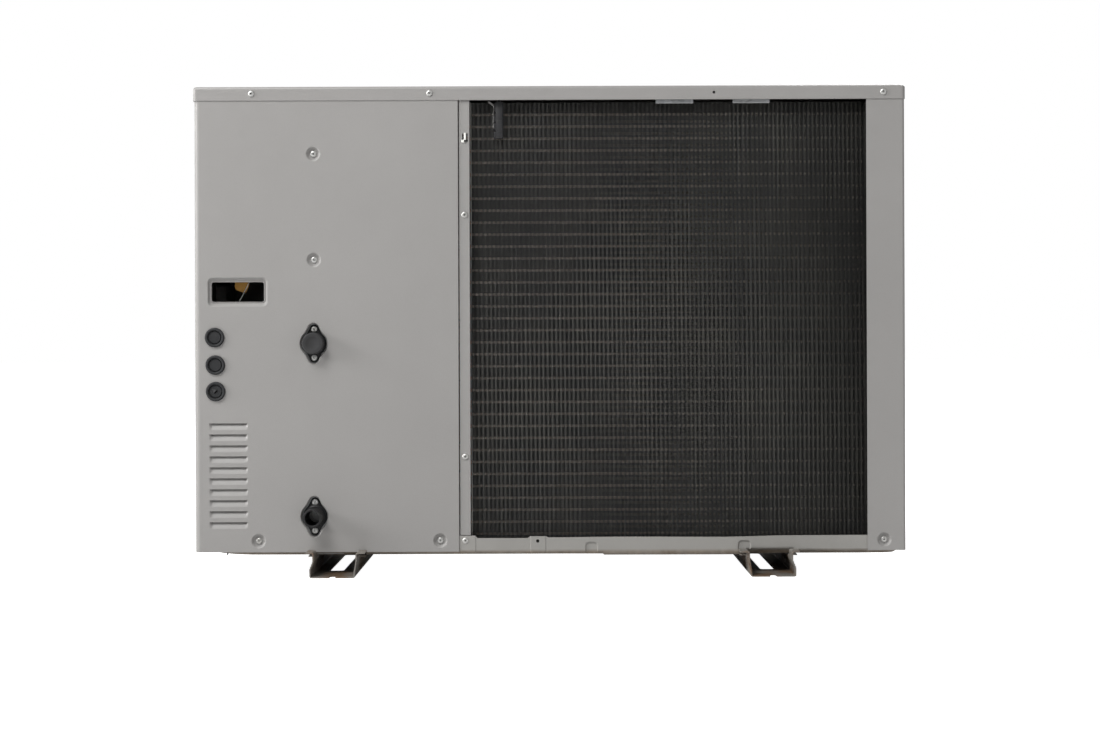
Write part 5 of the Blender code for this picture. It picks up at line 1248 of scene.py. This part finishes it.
def sensor_clip():
    """Bar clipped to the coil's face: a wide head, a backing strip with three teeth, and a sensor wire."""
    front = COIL_FACE_Y - 0.0003
    spans = [((-0.0930, front - 0.0110, 0.7600), (-0.0812, front, 0.8238)),
             ((-0.0958, front - 0.0060, 0.8062), (-0.0797, front - 0.0010, 0.8225)),
             ((-0.0816, front - 0.0035, 0.7600), (-0.0797, front, 0.8065))]
    for k in range(3):
        low = 0.7600 + 0.0147 * k
        spans.append(((-0.0968, front - 0.0040, low), (-0.0926, front - 0.0004, low + 0.0118)))
    spans += [((-0.0915, front - 0.0118, z), (-0.0827, front - 0.0105, z + 0.0012)) for z in (0.7700, 0.7900)]
    piece("sensor_clip_bar", soft_boxes("sensor_clip_bar", 0.0005, *spans), clip_plastic,
          nodes=("sensor_clip",))
    y = front - 0.0022
    loop = [(-0.1068, y, 0.8246), (-0.0968, y, 0.8168), (-0.0975, y, 0.8040), (-0.0975, y, 0.7790),
            (-0.0940, y, 0.7770)]
    second = [(-0.1050, y, 0.8250), (-0.0955, y, 0.8183)]
    wires = [smooth_route(loop, 0.0014), second]
    piece("sensor_wire", pipe_mesh("sensor_wire", wires, 0.0005, 10), screw_zinc)


def retainer_clip():
    """White clip in the slot of the post: an upright tongue on a wider foot, and two legs running in."""
    x, z = CLIP_SLOT
    out = POST_FACE - 0.0018
    held = POST_FACE - 0.0003
    spans = [((x - 0.0019, out, z - 0.0085), (x + 0.0021, held, z + 0.0082)),
             ((x - 0.0063, out, z - 0.0085), (x + 0.0021, held, z - 0.0036)),
             ((x - 0.0016, out + 0.0002, z - 0.0060), (x + 0.0018, POST_FACE + 0.0060, z - 0.0045)),
             ((x - 0.0016, out + 0.0002, z + 0.0045), (x + 0.0018, POST_FACE + 0.0060, z + 0.0060))]
    mesh = soft_boxes("retainer_clip_body", 0.0004, *spans)
    piece("retainer_clip_body", mesh, white_plastic, nodes=("retainer_clip",))


def coil_hook(side, left, right):
    """Folded tab in front of the coil's top edge, with a rounded fold and a rolled lower edge."""
    face = 0.0045
    low = COIL_TOP - 0.0040
    shelf = COIL_TOP + 0.012
    section = [(face + 0.0016, low + 0.0008), (face + 0.0010, low + 0.0001), (face + 0.0003, low + 0.0002),
               (face, low + 0.0009), (face, shelf - 0.0016), (face + 0.0005, shelf - 0.0005),
               (face + 0.0016, shelf), (0.0440, shelf)]
    bm = bmesh.new()
    places = (left, left + 0.0006, right - 0.0006, right)
    loft(bm, [[(x, REAR_Y + u, v) for u, v in section] for x in places], around=False)
    mesh = sheet_piece(bm, f"hook_sheet_{side}", (0, -1, 0), 0.0008)
    piece(f"hook_sheet_{side}", mesh, galvanised, nodes=(f"coil_hook_{side}",))


def pan_peg():
    """Small rubber peg that shows under the rear panel's lower edge."""
    peg = rod_shapes("pan_peg", ((-0.5625, -0.1785, 0.0350), (-0.5625, -0.1785, 0.0408), 0.0013))
    piece("pan_peg", peg, black_rubber)


def hanging_strip():
    """Brown insulating strip hanging from the control box behind the hand hole, and a thin wire past it."""
    bm = bmesh.new()
    outline = [(-0.5279, 0.5895), (-0.5528, 0.5895), (-0.5528, 0.5020), (-0.5520, 0.4990), (-0.5500, 0.4972),
               (-0.5430, 0.4945), (-0.5360, 0.4925), (-0.5335, 0.4925), (-0.5279, 0.5060)]
    loft(bm, [[(x, y, z) for x, z in outline] for y in (-0.1490, -0.1484)], ends=(0, -1))
    piece("insulating_strip", finish_mesh(bm, "insulating_strip"), brown_film)
    route = [(-0.4870, -0.1500, 0.5893), (-0.5458, -0.1520, 0.4748), (-0.5690, -0.1600, 0.4250),
             (-0.5750, -0.1640, 0.4150)]
    mesh = pipe_mesh("thin_wire", [smooth_route(route, 0.010)], 0.0006, 10)
    piece("thin_wire", mesh, white_plastic)


# ---------------------------------------------------------------- fan side

def fan_guard():
    """Round frame with a rolled rim, level bars with rounded edges and two upright ribs behind them."""
    back = PANEL_Y + 0.0003
    front = back + 0.013
    inner = SHROUD_RADIUS - 0.004
    outer = SHROUD_RADIUS + 0.020
    reach = SHROUD_RADIUS + 0.002
    profile = [(inner, -back), (inner, -front + 0.0012), (inner + 0.0004, -front + 0.0003),
               (inner + 0.0012, -front), (outer - 0.0080, -front), (outer - 0.0050, -front + 0.0006),
               (outer - 0.0022, -front + 0.0022),
               (outer - 0.0006, -front + 0.0046), (outer, -front + 0.0076), (outer, -back)]
    guard = turned_mesh("fan_guard", (FAN_X, 0, FAN_Z), profile, 160)
    bm = bmesh.new()
    bm.from_mesh(guard)
    bars = []
    for row in range(-9, 10):
        z = row * 0.027
        half = math.sqrt(reach ** 2 - (abs(z) + 0.002) ** 2)
        section = rounded_rectangle((back + 0.007, FAN_Z + z), (0.008, 0.004), 0.0016, 4)
        bars.append([[(FAN_X + side * half, y, v) for y, v in section] for side in (-1, 1)])
    for offset in (-0.090, 0.090):
        half = math.sqrt(reach ** 2 - (abs(offset) + 0.0025) ** 2)
        section = rounded_rectangle((FAN_X + offset, back + 0.007), (0.005, 0.0052), 0.0016, 4)
        bars.append([[(u, y, FAN_Z + side * half) for u, y in section] for side in (-1, 1)])
    for ends in bars:
        loft(bm, ends, ends=(0, -1))
    mesh = finish_mesh(bm, "fan_guard", 40)
    piece("fan_guard", mesh, grille_plastic, nodes=("fan_grille",))


def bell_mouth():
    """Ring round the blade tips that flares at both ends."""
    front = PANEL_Y - SHEET - 0.0003
    r = SHROUD_RADIUS
    profile = [(r + 0.040, -front), (r + 0.040, -front + 0.0015), (r + 0.0080, -front + 0.0015),
               (r + 0.0048, -front + 0.0022), (r + 0.0030, -front + 0.0040), (r + 0.0025, -front + 0.0070),
               (r + 0.0025, -front + 0.0600), (r + 0.0042, -front + 0.0660), (r + 0.0090, -front + 0.0720),
               (r + 0.0180, -front + 0.0760), (r + 0.0180, -front + 0.0785), (r + 0.0078, -front + 0.0742),
               (r + 0.0020, -front + 0.0678), (r, -front + 0.0610), (r, -front)]
    mesh = turned_mesh("bell_mouth", (FAN_X, 0, FAN_Z), profile, 128)
    piece("bell_mouth", mesh, grille_plastic, nodes=("fan_shroud",))


def blade_point(along, across, half_thick):
    """A point of a fan blade: along runs from the hub to the tip, across from leading to trailing edge."""
    inner = HUB_RADIUS - 0.008
    radius = inner + (FAN_RADIUS - inner) * along
    turn = 0.42 * along ** 1.4 + (1.05 + 0.16 * math.sin(math.pi * along)) * (across - 0.5)
    lift = (0.062 - 0.012 * along) * (across - 0.5) + 0.010 * math.sin(math.pi * across) * along
    edge = math.sin(math.pi * min(max(across, 0.0), 1.0)) ** 0.5
    return radius, turn, lift, half_thick * (0.35 + 0.65 * edge)


def blades():
    """Three smoothly twisted blades, each two grids of points joined round their rim."""
    rows = 24
    columns = 30
    rim = [(i, 0) for i in range(rows)] + [(rows, j) for j in range(columns)]
    rim += [(i, columns) for i in range(rows, 0, -1)] + [(0, j) for j in range(columns, 0, -1)]
    bm = bmesh.new()
    for number in range(3):
        sheets = []
        for side in (-1, 1):
            sheet = []
            for i in range(rows + 1):
                row = []
                for j in range(columns + 1):
                    radius, turn, lift, thick = blade_point(i / rows, j / columns, 0.0018)
                    a = turn + number * 2 * math.pi / 3
                    row.append((FAN_X + radius * math.cos(a), FAN_Y + lift + side * thick,
                                FAN_Z + radius * math.sin(a)))
                sheet.append(row)
            loft(bm, sheet, around=False)
            sheets.append(sheet)
        loft(bm, [[sheet[i][j] for i, j in rim] for sheet in sheets])
    return finish_mesh(bm, "blades", 40)


def fan_wheel():
    """Moulded hub with a stepped nose and blades that grow out of its side."""
    r = HUB_RADIUS
    bore = SHAFT_RADIUS + 0.0003
    profile = [(bore, 0.034), (r - 0.0040, 0.034), (r - 0.0014, 0.0330), (r, 0.0300), (r, -0.0040),
               (r - 0.0006, -0.0062), (r - 0.0022, -0.0076), (r - 0.0120, -0.0132), (r - 0.0140, -0.0140),
               (0.0200, -0.0140), (0.0194, -0.0128), (0.0150, -0.0128), (0.0144, -0.0140), (bore, -0.0140)]
    hub = turned_mesh("hub", (FAN_X, FAN_Y, FAN_Z), profile, 72)
    bm = bmesh.new()
    bm.from_mesh(hub)
    bm.from_mesh(blades())
    mesh = finish_mesh(bm, "fan_wheel", 40)
    piece("fan_wheel", mesh, blade_plastic, "fan", ("fan_rotor",))


def hub_nut():
    """Hexagonal nut with chamfered corners and a washer face."""
    front = FAN_Y + 0.0143
    bore = SHAFT_RADIUS + 0.0003
    steps = ((bore, 0.0), (None, 0.0), (None, 0.0078), (0.0098, 0.0090), (bore + 0.0006, 0.0090),
             (bore, 0.0084))
    bm = bmesh.new()
    rows = []
    for reach, grow in steps:
        row = []
        for k in range(48):
            a = 2 * math.pi * k / 48
            flat = 0.00996 / math.cos((a + math.pi / 6) % (math.pi / 3) - math.pi / 6)
            radius = reach or flat
            row.append((FAN_X + radius * math.cos(a + math.pi / 6), front + grow,
                        FAN_Z + radius * math.sin(a + math.pi / 6)))
        rows.append(row)
    loft(bm, rows + rows[:1])
    piece("hub_nut", finish_mesh(bm, "hub_nut", 28), black_plastic, "fan", ("fan_nut",))


def motor_can():
    """Motor body: pressed can with a joint bead, round shoulders and a bearing boss."""
    r = MOTOR_RADIUS
    bore = SHAFT_RADIUS + 0.0005
    profile = [(bore, -0.0080), (r - 0.0080, -0.0080), (r - 0.0040, -0.0086), (r - 0.0012, -0.0108),
               (r - 0.0006, -0.0140), (r - 0.0006, -0.0440), (r, -0.0445), (r, -0.0475),
               (r - 0.0006, -0.0480), (r - 0.0006, -0.0770),
               (r - 0.0020, -0.0812), (r - 0.0050, -0.0840), (r - 0.0090, -0.0850), (0.0200, -0.0850),
               (0.0180, -0.0858), (0.0180, -0.0900), (0.0170, -0.0910), (bore, -0.0910)]
    mesh = turned_mesh("motor_can", (FAN_X, 0, FAN_Z), profile, 72)
    piece("motor_can", mesh, galvanised, nodes=("fan_motor",))


# ---------------------------------------------------------------- stage

def area_light(name, place, aim, size, power, colour=(1.0, 1.0, 1.0)):
    light = bpy.data.lights.new(name, "AREA")
    light.shape = "DISK"
    light.size = size
    light.energy = power
    light.color = colour
    made = bpy.data.objects.new(name, light)
    made.location = place
    made.rotation_euler = (Vector(aim) - Vector(place)).to_track_quat("-Z", "Y").to_euler()
    bpy.context.scene.collection.objects.link(made)


def seen_or_lighting(made, seen, lighting):
    """One value for what is looked at and another for the light it sends to other things."""
    path = made.nodes.new("ShaderNodeLightPath")
    choice = made.nodes.new("ShaderNodeMix")
    made.links.new(path.outputs["Is Camera Ray"], choice.inputs[0])
    choice.inputs[2].default_value = lighting
    choice.inputs[3].default_value = seen
    return choice.outputs[0]


def stage():
    """White floor and surroundings, a soft key light from the upper left of the rear, and the camera."""
    bm = bmesh.new()
    corners = [(-30, -30), (30, -30), (30, 30), (-30, 30)]
    bm.faces.new([bm.verts.new((x, y, -0.0005)) for x, y in corners])
    mesh = finish_mesh(bm, "floor")
    floor = bpy.data.objects.new("floor", mesh)
    bpy.context.scene.collection.objects.link(floor)
    white, shader = start_material("studio_floor", specular=0.1)
    pale = ramp(white, noise(white, 2.0), (0.2, (0.70, 0.70, 0.70, 1)), (0.8, (0.74, 0.74, 0.74, 1)))
    wire(white, pale, shader, "Base Color")
    shader.inputs["Roughness"].default_value = 0.9
    shader.inputs["Emission Color"].default_value = WHITE
    tree = white.node_tree
    tree.links.new(seen_or_lighting(tree, 1.0, 0.0), shader.inputs["Emission Strength"])
    mesh.materials.append(white)

    world = bpy.data.worlds.new("studio")
    bpy.context.scene.world = world
    world.use_nodes = True
    backdrop = world.node_tree.nodes["Background"]
    backdrop.inputs["Color"].default_value = WHITE
    world.node_tree.links.new(seen_or_lighting(world.node_tree, 1.0, 0.24), backdrop.inputs["Strength"])

    area_light("key", (-2.3, -3.0, 4.6), (0, 0, 0.4), 2.6, 245)
    area_light("left_edge", (-4.4, -1.2, 1.6), (0, 0, 0.4), 1.6, 140)
    area_light("fill", (3.2, -3.0, 1.6), (0, 0, 0.4), 2.4, 12)
    area_light("front_key", (2.2, 3.6, 4.2), (0, 0, 0.4), 2.6, 230)
    area_light("front_fill", (-3.2, 2.6, 1.4), (0, 0, 0.4), 2.4, 30)

    lens = bpy.data.cameras.new("camera")
    lens.lens = LENS_MM
    lens.sensor_width = 36.0
    lens.shift_x, lens.shift_y = LENS_SHIFT
    lens.clip_end = 100
    camera = bpy.data.objects.new("camera", lens)
    camera.location = CAMERA_PLACE
    camera.rotation_euler = (math.pi / 2, CAMERA_ROLL, 0)
    bpy.context.scene.collection.objects.link(camera)
    bpy.context.scene.camera = camera
    bpy.context.scene.view_settings.view_transform = "Standard"


# ---------------------------------------------------------------- whole unit

def carry_over():
    """Finishes for the CAD nodes that stay as they are."""
    finishes = {
        "steel": screw_zinc, "galvanised_steel": galvanised, "copper": copper, "brass": brass,
        "black_plastic": black_plastic, "black_rubber": black_rubber, "white_plastic": white_plastic,
        "black_paint": black_enamel, "board_green": board_green, "casing_paint": casing_paint,
        "pan_paint": pan_paint, "foot_steel": rail_paint, "coil_fins": fins_dark}
    slots = {part["node"]: part["material_slot"] for part in frame["record"]["subparts"]}
    own = {"coil_end_plate": fins_dark, "plate_heat_exchanger": stainless}
    for name, thing in frame["nodes"].items():
        finish = own.get(name, finishes[slots[name]])
        if not thing.material_slots:
            thing.data.materials.append(finish)
        for place in thing.material_slots:
            place.material = finish


rear_panel()
right_side_panel()
service_panel()
front_panel()
top_cover()
centre_post()
base_pan()
for rail in RAILS:
    foot_rail(*rail)
fin_pack()
coil_tubes()
screws()
union_fitting("outlet_union", UNIONS[0], STUB_LENGTHS[0], "water_outlet_union")
union_fitting("inlet_union", UNIONS[1], STUB_LENGTHS[1], "water_inlet_union")
union_cap()
for count, spot in enumerate(GROMMETS):
    grommet(count + 1, spot)
sensor_clip()
retainer_clip()
for hook in HOOKS:
    coil_hook(*hook)
hanging_strip()
pan_peg()
fan_guard()
bell_mouth()
fan_wheel()
hub_nut()
motor_can()
carry_over()
stage()
